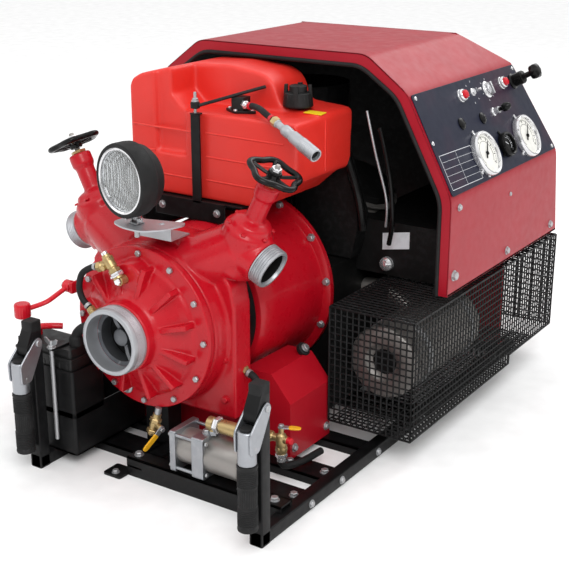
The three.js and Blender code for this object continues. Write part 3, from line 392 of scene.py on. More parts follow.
class Form:
    """Collects closed solids, in millimetres on the plan, into one mesh."""

    def __init__(self):
        self.mesh = bmesh.new()

    def shell(self, rings, caps=True):
        """Joins rings of points into a skin, with flat ends or a loop."""
        made = [[self.mesh.verts.new(p) for p in ring] for ring in rings]
        last = len(made) if not caps else len(made) - 1
        for i in range(last):
            lower, upper = made[i], made[(i + 1) % len(made)]
            count = max(len(lower), len(upper))
            for k in range(count if count > 1 else 0):
                n = (k + 1) % count
                corners = [
                    ring[j % len(ring)]
                    for ring, j in ((lower, k), (lower, n), (upper, n), (upper, k))
                ]
                self.mesh.faces.new(list(dict.fromkeys(corners)))
        if caps:
            for ring in (made[0], made[-1]):
                if len(ring) > 2:
                    self.mesh.faces.new(ring)
        return self

    def box(self, x0, x1, y0, y1, z0, z1):
        return self.slab_z(rect(x0, x1, y0, y1), z0, z1)

    def prism(self, outline, start, end):
        """An outline of 3-D points, moved from one offset to another."""
        start, end = Vector(start), Vector(end)
        points = [Vector(p) for p in outline]
        return self.shell([[p + start for p in points], [p + end for p in points]])

    def slab_y(self, outline, y0, y1):
        return self.prism([(p[0], 0, p[1]) for p in outline], (0, y0, 0), (0, y1, 0))

    def slab_x(self, outline, x0, x1):
        return self.prism([(0, p[0], p[1]) for p in outline], (x0, 0, 0), (x1, 0, 0))

    def slab_z(self, outline, z0, z1):
        return self.prism([(p[0], p[1], 0) for p in outline], (0, 0, z0), (0, 0, z1))

    def turned(self, profile, foot, axis, sides=64):
        """Turns [radius, distance] pairs round an axis; a profile off the axis closes on itself."""
        side, up, along = frame_of(axis)
        foot = Vector(foot)
        closed = profile[0][0] > 0
        rings = []
        for radius, distance in profile:
            centre = foot + along * distance
            rings.append(circle(centre, side, up, radius, sides) if radius > 0 else [centre])
        return self.shell(rings, caps=not closed)

    def rod(self, start, end, radius, end_radius=None, sides=32, chamfer=0.0):
        start, end = Vector(start), Vector(end)
        tip = radius if end_radius is None else end_radius
        length = (end - start).length
        profile = [(radius, 0), (tip, length)]
        if chamfer:
            profile = [(radius - chamfer, 0), (radius, chamfer)]
            profile += [(tip, length - chamfer), (tip - chamfer, length)]
        return self.turned([(0, 0), *profile, (0, length)], start, end - start, sides)

    def tube(self, points, radius, sides=16, closed=False, flat=1.0):
        """A round or flattened bar along a path."""
        points = [Vector(p) for p in points]
        count = len(points)
        rings = []
        normal = None
        for i, point in enumerate(points):
            ahead = points[(i + 1) % count] if closed else points[min(i + 1, count - 1)]
            behind = points[i - 1] if closed or i else points[0]
            tangent = (ahead - behind).normalized()
            if normal is None:
                normal = frame_of(tangent)[0]
            normal = (normal - tangent * normal.dot(tangent)).normalized()
            rings.append(circle(point, normal, tangent.cross(normal) * flat, radius, sides))
        return self.shell(rings, caps=not closed)

    def bolt(self, at, axis, across=13, head=6, washer=True, turn=0.0):
        """A hex head with a chamfered crown on its washer, standing on a face."""
        side, up, along = frame_of(axis)
        at = Vector(at)
        start = at - along * 1.0
        if washer:
            self.rod(start, at + along * 1.6, across * 0.72, sides=24)
        levels = ((1.4, across * 0.577), (head - 1.2, across * 0.577), (head, across * 0.47))
        return self.shell([circle(at + along * d, side, up, radius, 6, turn) for d, radius in levels])

    def turn_last(self, count, matrix):
        """Moves the newest corners by a matrix."""
        corners = list(self.mesh.verts)[-count:]
        bmesh.ops.transform(self.mesh, matrix=matrix, verts=corners)

    def turned_by(self, matrix):
        bmesh.ops.transform(self.mesh, matrix=matrix, verts=list(self.mesh.verts))
        return self


def object_of(name, form):
    """Makes a Blender object from a form, in metres on the frame."""
    bmesh.ops.recalc_face_normals(form.mesh, faces=list(form.mesh.faces))
    bmesh.ops.transform(form.mesh, matrix=Matrix.Translation((-MIDDLE_X, 0, 0)), verts=list(form.mesh.verts))
    bmesh.ops.scale(form.mesh, vec=(0.001, 0.001, 0.001), verts=list(form.mesh.verts))
    data = bpy.data.meshes.new(name)
    form.mesh.to_mesh(data)
    form.mesh.free()
    made = bpy.data.objects.new(name, data)
    bpy.context.scene.collection.objects.link(made)
    return made


def piece(
    name, form, material, body="machine", stands_for=(), slot=None, bevel=0.8, cast=0.0, soft=6, angle=35,
):
    """A finished piece, riding on a body of the frame; cast is the grain of a moulded skin in mm."""
    made = object_of(name, form)
    made.data.materials.append(material)
    made.data.shade_smooth()
    made.data.set_sharp_from_angle(angle=math.radians(angle))
    if cast:
        remesh = made.modifiers.new("cast", "REMESH")
        remesh.mode = "VOXEL"
        remesh.voxel_size = cast / 1000
        remesh.use_smooth_shade = True
        smooth = made.modifiers.new("fillets", "SMOOTH")
        smooth.factor = 0.6
        smooth.iterations = soft
    elif bevel:
        edge = made.modifiers.new("edges", "BEVEL")
        edge.width = bevel / 1000
        edge.segments = 2
        edge.limit_method = "ANGLE"
        edge.angle_limit = math.radians(40)
        edge.harden_normals = True
    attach(made, body)
    for node in stands_for:
        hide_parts(node)
    slot = slot or USUAL_SLOT[material]
    return made


def carved(made, form):
    """Cuts a form out of a piece, before its other modifiers."""
    tool = object_of("tool", form)
    kept = [(m, m.show_viewport) for m in made.modifiers]
    for modifier, _ in kept:
        modifier.show_viewport = False
    cut = made.modifiers.new("cut", "BOOLEAN")
    cut.operation = "DIFFERENCE"
    cut.object = tool
    cut.solver = "EXACT"
    cut.use_self = True
    bpy.context.view_layer.update()
    result = bpy.data.meshes.new_from_object(made.evaluated_get(bpy.context.evaluated_depsgraph_get()))
    made.modifiers.remove(cut)
    made.data = result
    for modifier, shown in kept:
        modifier.show_viewport = shown
    bpy.data.objects.remove(tool)
    return made


# ---- stage -----------------------------------------------------------------------------------
def add_stage():
    data = bpy.data.meshes.new("floor")
    size = 30
    data.from_pydata([(x, y, 0) for x, y in rect(-size, size, -size, size)], [], [(0, 1, 2, 3)])
    floor = bpy.data.objects.new("floor", data)
    bpy.context.scene.collection.objects.link(floor)
    paper = Surface("paper", 0xF6F6F6, (0.75, 0.85))
    paper.bump(paper.noise(40, 2), 0.02, 0.001)
    data.materials.append(paper.material)
    world = bpy.data.worlds.new("studio")
    world.use_nodes = True
    nodes, links = world.node_tree.nodes, world.node_tree.links
    nodes["Background"].inputs["Color"].default_value = (1, 1, 1, 1)
    height = nodes.new("ShaderNodeSeparateXYZ")
    links.new(nodes.new("ShaderNodeTexCoord").outputs["Generated"], height.inputs["Vector"])
    sky = nodes.new("ShaderNodeMapRange")
    for name, value in (("From Min", 0.05), ("From Max", 0.7), ("To Min", 0.42), ("To Max", 1.2)):
        sky.inputs[name].default_value = value
    links.new(height.outputs["Z"], sky.inputs["Value"])
    links.new(sky.outputs["Result"], nodes["Background"].inputs["Strength"])
    bpy.context.scene.world = world
    lamps = (
        ("key", (2.6, -3.0, 3.6), 2.6, 120),
        ("fill", (-3.4, -2.4, 2.4), 3.0, 20),
        ("rim", (0.6, 3.2, 3.2), 2.5, 45),
    )
    for name, place, size, power in lamps:
        light = bpy.data.lights.new(name, "AREA")
        light.size = size
        light.energy = power
        made = bpy.data.objects.new(name, light)
        made.location = place
        aim = Vector((0, 0, 0.35)) - made.location
        made.rotation_euler = aim.to_track_quat("-Z", "Y").to_euler()
        bpy.context.scene.collection.objects.link(made)
    bpy.context.scene.view_settings.view_transform = "Standard"


add_stage()


# ---- hoses -----------------------------------------------------------------------------------
FUEL_HOSE = [
    (30.8, back(375.6), 662.4),
    (46, back(368.8), 664),
    (70, back(354), 664),
    (92, back(340), 660),
    (113, back(333), 652),
]
LINES = {
    "line_gauge": (6, [
        (-108.7, back(90), 397.8),
        (-123, back(90), 394),
        (-146, back(88), 378),
        (-151, back(84), 352),
        (-142, back(82), 331),
        (-125, back(81), 318),
    ]),
    "line_primer": (7, [
        (129.4, back(222), 199),
        (148, back(221), 191),
        (157, back(219), 170),
        (157, back(211), 122),
        (166, back(207), 101),
        (182.6, back(206), 93),
    ]),
    "line_drain": (7, [
        (216, back(206), 53.4),
        (216, back(206.5), 44),
        (220, back(216), 34),
        (232, back(250), 31),
        (238, back(310), 30),
    ]),
}


def hose_piece(name, points, radius, body="machine"):
    """A free rubber hose on its own centreline."""
    path = smooth_path(points, 5)
    form = Form().tube(path, radius, 20)
    made = piece(name, form, RUBBER, body, [name.removesuffix("_skin")], bevel=0)
    return made, [metres(p) for p in path]


def add_hoses():
    for name, (radius, points) in LINES.items():
        made, path = hose_piece(name + "_skin", points, radius)
    made, path = hose_piece("fuel_hose_skin", FUEL_HOSE, 6)
    end_piece = add_coupling()


def add_coupling():
    """The quick coupling on the fuel hose: hex, waist, sliding sleeve with knurled bands."""
    path = smooth_path(FUEL_HOSE, 5)
    start = path[-1]
    axis = (path[-1] - path[-2]).normalized()
    form = Form()
    profile = [
        (0, 10), (8, 10), (8, 17), (6.5, 18), (6.5, 31), (9.5, 35), (10.5, 37), (10.5, 50), (9.8, 51),
        (9.8, 60), (11.5, 62), (11.8, 84), (12.8, 88),
    ]
    for ridge in range(9):
        profile += [
            (12.8, 89 + ridge * 4), (12.2, 90.5 + ridge * 4), (12.2, 91.5 + ridge * 4),
            (12.8, 93 + ridge * 4),
        ]
    profile += [(12, 128), (9.4, 128), (9, 121), (0, 121)]
    form.turned(profile, start, axis, 48)
    made = piece(
        "fuel_coupling_body", form, ALLOY, stands_for=["fuel_coupling"], slot="coupling_alloy", bevel=0,
    )
    form = Form().bolt(start + axis * 1.4, axis, 17, 13, washer=False)
    piece("fuel_coupling_nut", form, BRASS, bevel=0.5)
    # a black disc at the bottom of the coupling's mouth: painted shade
    form = Form().turned(rect(0, 8.9, 121.3, 122), start, axis, 32)
    piece("fuel_coupling_mouth_shade", form, INNER_BLACK, bevel=0)
    return made


add_hoses()


# ---- frame -----------------------------------------------------------------------------------
def add_frame():
    form = Form()
    half = RAIL / 2
    for x in RAIL_X:
        form.slab_y(rounded(rect(x - half, x + half, 0, RAIL), 3, 3), back(0), back(RAIL_BACK))
        corners = rect(x - half, x + half, back(0), back(POST_DEPTH))
        form.slab_z(rounded(corners, 3, 3), 0, POST_HEIGHT)
        knuckle = [(back(2), 284), (back(-14), 252), (back(-15), 236), (back(2), 224)]
        form.slab_x(rounded(knuckle, 4, 3), x - half, x + half)
    left, right = RAIL_X
    form.box(-46, right, back(74), back(78), 0, 38)
    form.box(-46, right, back(74), back(110), 34, 38)
    form.box(-46, right, back(106), back(110), 0, 38)
    form.box(-46, -10, back(74), back(240), 18, 22)
    form.box(-46, -42, back(110), back(240), 0, 22)
    for y, width, height in ((124, 60, 18), (232, 54, 18), (376, 40, 18), (560, 40, 30), (1020, 40, 30)):
        form.box(left, right, back(y), back(y + width), height - 4, height)
        form.box(left, right, back(y), back(y + 4), 0, height)
        form.box(left, right, back(y + width - 4), back(y + width), 0, height)
    form.slab_z(rounded(rect(-86, -44, back(50), back(92)), 6), 0, 5)
    form.box(PUMP_X - 44, PUMP_X + 12, back(186), back(226), 10, 112.6)
    piece("frame_rails", form, BLACK, stands_for=["base_frame"], bevel=1.2)
    bolts = Form()
    for x, y, z in (
        (278, 92, 38), (208, 92, 38), (60, 92, 38), (-30, 92, 38), (278, 154, 18), (215, 154, 18),
        (278, 259, 18), (200, 259, 18),
    ):
        bolts.bolt((x, back(y), z), UP, 13, 7, turn=x * 0.1)
    bolts.bolt((-64, back(62), 5), UP, 11, 6)
    for y in (154, 259, 396, 580, 1040):
        bolts.bolt((right + half, back(y), 13), RIGHT, 11, 5, turn=y * 0.1)
    piece("frame_bolts", bolts, ZINC, bevel=0.3)
    tray = Form()
    left, right, front = -300, -142, back(42)
    tray.slab_z(rounded(rect(left, right, front, back(246)), 6), 24, 29)
    for rear, foot, floor, top in ((246, 24, 28, 112), (128, 100, 100, 196)):
        outline = rounded(rect(left, right, front, back(rear)), 6)
        inner = rounded(rect(left + 3, right - 3, front + 3, back(rear) - 3), 4)
        walls = [(outline, foot), (outline, top), (inner, top), (inner, floor)]
        tray.shell([[(*p, z) for p in ring] for ring, z in walls], caps=floor > foot)
    piece("battery_tray", tray, BLACK, bevel=0.8)


# ---- carry handles ---------------------------------------------------------------------------
def add_handles():
    grip_y = back(-22.5)
    pivot = (back(12), 255)
    for word, x in zip(("left", "right"), RAIL_X):
        body = f"handle_{word}_body"
        form = Form()
        socket = [(9, 165.4), (15.5, 165.4), (16, 167), (16, 224), (14.5, 226), (9, 226)]
        form.turned(socket, (x, grip_y, 0), UP, 48)
        pin_y, pin_z = pivot
        outline = [
            (grip_y - 13, 186), (grip_y + 11, 186), (pin_y + 8, pin_z - 12), (pin_y + 11, pin_z + 2),
            (pin_y + 3, pin_z + 11), (pin_y - 8, pin_z + 8), (grip_y - 14, 224),
        ]
        for side in (-1, 1):
            inner = x + side * 13.5
            form.slab_x(rounded(outline, 7), *sorted((inner, inner + side * 3.8)))
        piece(f"handle_clevis_{word}", form, CAST_ALLOY, body, [f"handle_{word}"], "cast_alloy", bevel=1.4)
        pin = Form()
        pin.rod((x - 20, *pivot), (x + 20, *pivot), 6.5, sides=24, chamfer=1)
        pin.rod((x - 17.5, grip_y, 196), (x + 17.5, grip_y, 196), 3, sides=16, chamfer=0.6)
        piece(f"handle_pin_{word}", pin, ZINC, body, bevel=0)
        grip = Form()
        profile = [(0, 43), (14, 43), (17.4, 45), (18, 48), (17.2, 52), (16.4, 54)]
        profile += ribs(54, 88, 3.4, 16.4, 17.6)
        profile += [(16.2, 90), (16.2, 124)]
        profile += ribs(126, 156, 3.4, 16.4, 17.6)
        profile += [
            (16.6, 158), (17.8, 160), (17.8, 164), (16.5, 165), (8, 165), (8, 226.4), (11.6, 226.4),
            (11.6, 230), (10.6, 231), (0, 231),
        ]
        grip.turned(profile, (x, grip_y, 0), UP, 64)
        for at in circle(Vector((x, grip_y, 92)), RIGHT, BACKWARD, 16.2, 28):
            grip.tube([at, at + UP * 30], 0.55, 6)
        piece(f"handle_grip_{word}", grip, RUBBER, body, [f"grip_{word}"], "grip_rubber", bevel=0)
        cap = Form()
        half = RAIL / 2 + 0.15
        front, rear = back(-0.6), back(POST_DEPTH + 0.6)
        corners = rect(x - half, x + half, front, rear)
        cap.slab_z(rounded(corners, 4), POST_HEIGHT - 20, POST_HEIGHT + 1.5)
        piece(f"post_cap_{word}", cap, RUBBER, slot="grip_rubber", bevel=2)


def ribs(start, end, pitch, low, high):
    """A row of round ridges for a turned profile."""
    made = []
    count = round((end - start) / pitch)
    for i in range(count):
        at = start + (end - start) * i / count
        step = (end - start) / count
        made += [(low, at), (high, at + step * 0.3), (high, at + step * 0.6), (low, at + step * 0.9)]
    return made


add_frame()
add_handles()


# ---- pump ------------------------------------------------------------------------------------
def outlet_axis(side):
    return Vector((side * math.cos(VALVE_TILT), 0, -math.sin(VALVE_TILT)))


def stem_axis(side):
    return Vector((side * math.sin(VALVE_TILT), 0, math.cos(VALVE_TILT)))


def valve_centre(side):
    return Vector((PUMP_X + side * VALVE_OUT, back(VALVE_Y), VALVE_Z))


def on_shaft(distance):
    return Vector((PUMP_X, back(distance), PUMP_Z))


def around_shaft(radius, degrees, distance):
    angle = math.radians(degrees)
    return on_shaft(distance) + Vector((radius * math.cos(angle), 0, radius * math.sin(angle)))


def add_casing():
    right = [(172, 113), (172, 330), (164, 372), (120, 430), (90, 452)]
    left = [(-90, 452), (-120, 430), (-164, 372), (-158, 262), (-110, 168), (-50, 113)]
    outline = [(PUMP_X + x, z) for x, z in right + left]
    form = Form()
    form.slab_y(outline, back(188), back(240))
    form.turned(
        [(0, 151), (157, 151), (157, 162), (158, 166), (163, 230), (0, 230)], on_shaft(0), BACKWARD, 96,
    )
    for side in (-1, 1):
        centre, out, up = valve_centre(side), outlet_axis(side), stem_axis(side)
        root = Vector((PUMP_X + side * 70, back(212), 392))
        form.rod(root, centre, 56, 50, 48)
        form.turned([(0, -20), (45, -20), (44, 20), (41, 44), (41, 49.6), (0, 49.6)], centre, out, 64)
        form.turned(
            [(0, -48), (44, -48), (47, -38), (47, 36), (44, 42), (40, 44), (36, 56), (24, 62), (0, 62)],
            centre, up, 64,
        )
        form.turned([(0, 58), (18, 58), (18, 108), (22, 112), (22, 134), (20, 136), (0, 136)], centre, up, 48)
    form.box(-208.5, -200, back(114), back(170), 318, 342)
    form.box(-208.5, -180, back(154), back(170), 318, 342)
    made = piece("casing_skin", form, PUMP_RED, stands_for=["pump_casing"], cast=2.6)
    for side in (-1, 1):
        centre, out = valve_centre(side), outlet_axis(side)
        carved(made, Form().rod(centre + out * 4, centre + out * 90, 31, sides=48))
    extra = Form()
    for side in (-1, 1):
        centre, out, up = valve_centre(side), outlet_axis(side), stem_axis(side)
        across, over, _ = frame_of(up)
        for at in circle(centre + up * 43, across, over, 41, 6, 0.3):
            extra.bolt(at, up, 9, 5, washer=False)
    for z in (150, 230, 305):
        extra.bolt((PUMP_X + 150, back(188), z), FORWARD, 12, 6)
    piece("casing_bolts", extra, PUMP_RED, bevel=0.4)


def add_cover():
    form = Form()
    profile = [
        (50, 72), (63, 72), (66, 74), (67, 92), (74, 99), (92, 111), (110, 121), (123, 126), (130, 132),
        (156, 134), (157, 135), (157, 149.6), (50, 149.6),
    ]
    form.turned(profile, on_shaft(0), BACKWARD, 96)
    for i in range(12):
        angle = math.radians(30 * i + 15)
        rib = [(back(97), 72), (back(104), 130), (back(134), 130), (back(134), 60)]
        before = len(form.mesh.verts)
        form.slab_x(rib, -5.2, 5.2)
        turn = Matrix.Translation((PUMP_X, 0, PUMP_Z)) @ Matrix.Rotation(angle, 4, "Y")
        form.turn_last(len(form.mesh.verts) - before, turn)
    boss = Vector((PUMP_X - 4, 0, PUMP_Z + 96))
    form.turned(
        [(0, back(104)), (34, back(104)), (36, back(107)), (42, back(140)), (0, back(140))], boss,
        BACKWARD, 48,
    )
    piece("cover_skin", form, PUMP_RED, stands_for=["suction_cover"], cast=1.5, soft=3)
    bolts = Form()
    for i in range(12):
        bolts.bolt(around_shaft(145, 30 * i, 134), FORWARD, 11, 7, False, turn=i * 0.4)
    piece("cover_bolts", bolts, ZINC, bevel=0.5)
    ring = Form()
    profile = [(54, 40.6), (55, 40), (59.6, 40), (61.6, 41), (62.6, 43), (63.4, 50)]
    for k in range(6):
        y = 51 + 2.6 * k
        profile += [(63.4, y), (63, y + 0.4), (63, y + 0.9), (63.4, y + 1.3)]
    profile += [(63.5, 67), (63.5, 71.4), (54, 71.4)]
    ring.turned(profile, on_shaft(0), BACKWARD, 128)
    piece("suction_thread", ring, ALLOY, stands_for=["suction_ring"], bevel=0)
    web = Form()
    web.turned(
        [(45, 71.5), (53.8, 71.5), (53.8, 71.9), (49.5, 71.9), (49.5, 98), (45, 98)], on_shaft(0),
        BACKWARD, 64,
    )
    web.turned([(0, 69), (10, 69), (16, 73), (17, 78), (17, 98), (0, 98)], on_shaft(0), BACKWARD, 32)
    for k in range(2):
        before = len(web.mesh.verts)
        outline = [(12, back(80)), (30, back(76)), (46, back(76)), (46, back(96)), (12, back(96))]
        web.slab_z(outline, -4, 4)
        turn = Matrix.Translation((PUMP_X, 0, PUMP_Z)) @ Matrix.Rotation(math.pi * k + VANE_TILT, 4, "Y")
        web.turn_last(len(web.mesh.verts) - before, turn)
    piece("inlet_web_skin", web, CAST_GREY, stands_for=["inlet_web"], slot="web_iron", bevel=1.2)
    # a black disc deep in the suction bore: painted shade for the bore's dark depth
    inner = Form().turned(rect(0, 49.8, 99, 101), on_shaft(0), BACKWARD, 48)
    piece("inlet_painted_shade", inner, INNER_BLACK, slot="web_iron", bevel=0)
    cups = Form()
    at = around_shaft(133, 252, 132)
    cups.turned([(0, 0), (14, 0), (14, 3), (9, 5), (9, 12), (0, 12)], at, FORWARD, 32)
    piece("cover_cup", cups, ZINC, bevel=0.5)
    NODES["impeller"].data.materials.clear()
    NODES["impeller"].data.materials.append(BRONZE)


def add_outlets():
    for word, side in (("left", -1), ("right", 1)):
        centre, out, up = valve_centre(side), outlet_axis(side), stem_axis(side)
        ring = Form()
        profile = [(31, 50.4), (39, 50.4), (39, 53)]
        for k in range(4):
            d = 53.6 + 4.6 * k
            profile += [(37, d), (38.9, d + 1.2), (38.9, d + 2.3), (37, d + 3.5)]
        profile += [(37, 72.6), (38.6, 73.4), (37, 76), (33, 76), (31, 71)]
        ring.turned(profile, centre, out, 96)
        piece(f"discharge_thread_{word}", ring, ALLOY, stands_for=[f"discharge_ring_{word}"], bevel=0)
        # a black disc and thin sleeve inside the outlet bore: painted shade
        dark = Form().turned(
            [(0, 44), (30.9, 44), (30.9, 70), (30.2, 70), (30.2, 45.5), (0, 45.5)], centre, out, 48,
        )
        piece(f"discharge_painted_shade_{word}", dark, INNER_BLACK, slot="web_iron", bevel=0)
        stem = Form()
        stem.turned(
            [(0, -34), (30, -34), (30, -26), (8, -22), (5, -20), (5, 176), (3.6, 178), (0, 178)], centre,
            up, 32,
        )
        for k in range(9):
            d = 138.5 + k * 1.7
            stem.turned([(0, d), (5, d), (5.35, d + 0.5), (5, d + 1), (0, d + 1)], centre, up, 24)
        piece(f"stem_{word}", stem, STEEL, f"stem_{word}_body", [f"valve_stem_{word}"], "stem_steel", bevel=0)
        nut = Form()
        nut.turned([(6.3, 136.3), (14, 136.3), (15, 138), (15, 142), (6.3, 142)], centre, up, 6)
        piece(f"packing_nut_{word}", nut, BRASS, bevel=0.6)
        add_handwheel(word, centre + up * WHEEL_DISTANCE, up)


def add_handwheel(word, centre, up):
    side, over, up = frame_of(up)
    form = Form()
    rim = circle(centre, side, over, lambda angle: 43.8 + 3.8 * math.cos(5 * angle), 80)
    form.tube(rim, 6.3, 20, closed=True, flat=0.85)
    for out in circle(Vector(), side, over, 1, 5):
        path = [centre + out * 8 - up * 5, centre + out * 22 - up * 4, centre + out * 43]
        form.tube(smooth_path(path, 4), 4.2, 12, flat=0.8)
    form.turned([(5.4, -13), (11, -13), (13, -10), (13, 2), (11.5, 5), (5.4, 5)], centre, up, 32)
    piece(
        f"handwheel_{word}", form, GLOSS_BLACK, f"wheel_{word}_body", [f"valve_wheel_{word}"],
        "wheel_black", bevel=0,
    )
    nut = Form().turned(
        [(6.3, 5.2), (9, 5.2), (9.6, 6.5), (9.6, 11), (8.4, 12.6), (6.3, 12.6)], centre, up, 6,
    )
    piece(f"handwheel_nut_{word}", nut, CHROME, f"wheel_{word}_body", slot="bright_steel", bevel=0.4)


add_casing()
add_cover()
add_outlets()


# ---- work lamp -------------------------------------------------------------------------------
def swivelled(form):
    """Turns a form about the lamp's upright stud."""
    place = Matrix.Translation((LAMP.x, LAMP_PIVOT_Y, 0))
    return form.turned_by(place @ Matrix.Rotation(LAMP_TURN, 4, "Z") @ place.inverted())


def add_lamp():
    shell = Form()
    profile = [
        (52, 16), (57, 3), (59, 0.6), (63, 0), (66, 1.6), (67, 6), (67.4, 26), (66.6, 34), (62, 38),
        (60, 42), (58.5, 52), (50, 62), (40, 70), (24, 76), (10, 78), (0, 78), (0, 16),
    ]
    shell.turned(profile, LAMP, BACKWARD, 96)
    lug = Form()
    piece("lamp_shell", swivelled(shell), RUBBER, "lamp_body", ["lamp_housing"], "lamp_rubber", bevel=0)
    lug.box(LAMP.x - 7, LAMP.x + 7, LAMP_PIVOT_Y - 4, LAMP_PIVOT_Y + 4, LAMP_PIVOT_Z, LAMP.z - 56)
    pivot = Vector((LAMP.x, LAMP_PIVOT_Y, LAMP_PIVOT_Z))
    lug.rod(pivot - RIGHT * 7, pivot + RIGHT * 7, 4.2, sides=32)
    piece("lamp_lug", swivelled(lug), ZINC, "lamp_body", bevel=0.6)
    bezel = Form().turned([(54.5, 1.6), (56.6, 0.2), (58.8, 0.8), (58.8, 4), (54.5, 6)], LAMP, BACKWARD, 96)
    piece("lamp_bezel", swivelled(bezel), CHROME, "lamp_body", bevel=0)
    bowl = Form()
    inside = [(0, 15.4), (20, 15), (38, 13), (50, 9.5), (55, 7)]
    bowl.turned(inside + [(55, 8), (50, 10.6), (38, 14.2), (20, 15.9), (0, 15.9)], LAMP, BACKWARD, 64)
    piece("lamp_bowl", swivelled(bowl), CHROME, "lamp_body", bevel=0)
    lens = Form()
    rings = []
    for radius, depth in (
        (0, 2.2), (14, 2.3), (28, 2.8), (42, 3.8), (54.6, 5.6), (54.6, 6.8), (42, 5.4), (28, 4.4),
        (14, 3.9), (0, 3.8),
    ):
        centre = LAMP + BACKWARD * depth
        rings.append(circle(centre, RIGHT, UP, radius, 160) if radius else [centre])
    lens.shell(rings)
    piece(
        "lamp_glass_front", swivelled(lens), GLASS, "lamp_body", ["lamp_lens"], "lamp_glass", bevel=0,
        angle=60,
    )
    bars = Form()
    for k in range(-8, 9):
        x = k * 6
        reach = math.sqrt(max(0, 52.5**2 - x * x))
        bars.tube([LAMP + Vector((x, 7.2, -reach)), LAMP + Vector((x, 7.2, reach))], 0.9, 8)
    piece("lamp_flutes", swivelled(bars), STEEL, "lamp_body", slot="lamp_glass", bevel=0)
    yoke = Form()
    y, z = LAMP_PIVOT_Y, LAMP_PIVOT_Z
    yoke.box(LAMP.x - 10.4, LAMP.x + 10.4, y - 10, y + 10, PLATE_TOP + 0.4, PLATE_TOP + 3.2)
    for side in (-1, 1):
        yoke.box(*sorted((LAMP.x + side * 7.4, LAMP.x + side * 10.4)), y - 6, y + 6, PLATE_TOP + 0.4, z + 3.5)
    yoke.rod((LAMP.x, y, PLATE_TOP - 26), (LAMP.x, y, PLATE_TOP + 2), 5, sides=24, chamfer=1)
    piece("lamp_clevis", swivelled(yoke), ZINC, "lamp_yoke_body", ["lamp_yoke"], bevel=0.6)
    wing = Form()
    wing.rod((LAMP.x - 16, y, z - 0.5), (LAMP.x + 15, y, z - 0.5), 2.4, sides=16)
    wing.bolt((LAMP.x + 10.6, y, z - 0.5), RIGHT, 7, 4)
    for side in (-1, 1):
        wing.box(LAMP.x - 20, LAMP.x - 17, *sorted((y + side * 1, y + side * 11)), z - 3, z + 3)
    wing.rod((LAMP.x - 20, y, z), (LAMP.x - 11, y, z), 3.2, sides=16)
    piece("lamp_wing_bolt", swivelled(wing), CHROME, "lamp_yoke_body", slot="bright_steel", bevel=0.7)
    nut = Form().bolt((LAMP.x, y, PLATE_TOP - 3.4), (0, 0, -1), 13, 8)
    piece("lamp_stud_nut", swivelled(nut), ZINC, "lamp_yoke_body", bevel=0.4)
    plate = Form()
    outline = [(-82, 106), (-46, 88), (0, 84), (30, 112), (42, 156), (34, 172), (-80, 142)]
    outline = rounded([(x, back(d)) for x, d in outline], 14, 5)
    plate.slab_z(outline, PLATE_TOP - 3, PLATE_TOP)
    plate.box(-60, 20, back(146), back(149), 452.4, PLATE_TOP - 2)
    plate.box(-60, 20, back(146), back(200), 452.4, 455.5)
    plate = piece("lamp_shelf", plate, ALLOY, stands_for=["lamp_plate"], slot="bright_steel", bevel=0.8)
    carved(plate, Form().rod((4, back(142), 470), (4, back(142), 500), 5.4, sides=32))


add_lamp()


# ---- bell housing, pedestal and engine -------------------------------------------------------
def add_bell():
    form = Form()
    profile = [
        (0, 240.6), (84, 240.6), (82, 246), (62, 286), (66, 291), (118, 292), (136, 295), (152, 302),
        (158, 312), (162, 352), (170, 478), (174, 490), (186, 492), (190, 494), (190, 505), (189, 506),
        (0, 506),
    ]
    centre = Vector((PUMP_X, FRONT, 275))
    form.turned(profile, centre, BACKWARD, 96)
    piece("bell_skin", form, PUMP_RED, stands_for=["bell_housing"], bevel=0.8)
    bolts = Form()
    places = circle(centre + BACKWARD * 492.5, RIGHT, UP, 181, 12, math.radians(8))
    for i, at in enumerate(places):
        bolts.bolt(at, FORWARD, 12, 7, turn=i)
    piece("bell_bolts", bolts, ZINC, bevel=0.3)
    saddle = Form()
    outline = [(-190, 18.4), (199, 18.4), (199, 134), (156, 186), (-150, 186), (-190, 134)]
    inner = [(-186, 18.4), (195, 18.4), (195, 132.4), (154, 182), (-148, 182), (-186, 132.4)]
    saddle.slab_y(outline, back(262), back(265))
    saddle.slab_y(outline[1:] + outline[:1] + inner[:1] + inner[:0:-1], back(262), back(404))
    made = piece("saddle_skin", saddle, SHEET_RED, stands_for=["pedestal"], slot="pump_red", bevel=1.6)
    carved(made, Form().turned([(0, 255), (166.5, 255), (172.5, 440), (0, 440)], centre, BACKWARD, 96))
    rubber = [(0, 0), (13, 0), (14, 2), (14, 9), (12, 11), (0, 11)]
    mount = Form().turned(rubber, (144, back(385), 190), (0.75, 0, 0.66), 32)
    piece("saddle_rubber", mount, RUBBER, slot="grip_rubber", bevel=0)
    # a black ring round the bell's neck, filling the gap behind the casing: painted shade
    gap_shade = Form().turned(rect(88, 150, 262, 288), on_shaft(0), BACKWARD, 96)
    piece("bell_gap_shade", gap_shade, BLACK, slot="engine_black", bevel=0.6)
    bolts = Form()
    bolts.bolt((152, back(385), 197.4), (0.75, 0, 0.66), 12, 7)
    for y in (276, 390):
        bolts.bolt((199, back(y), 40), RIGHT, 12, 6)
    piece("saddle_bolts", bolts, ZINC, bevel=0.4)


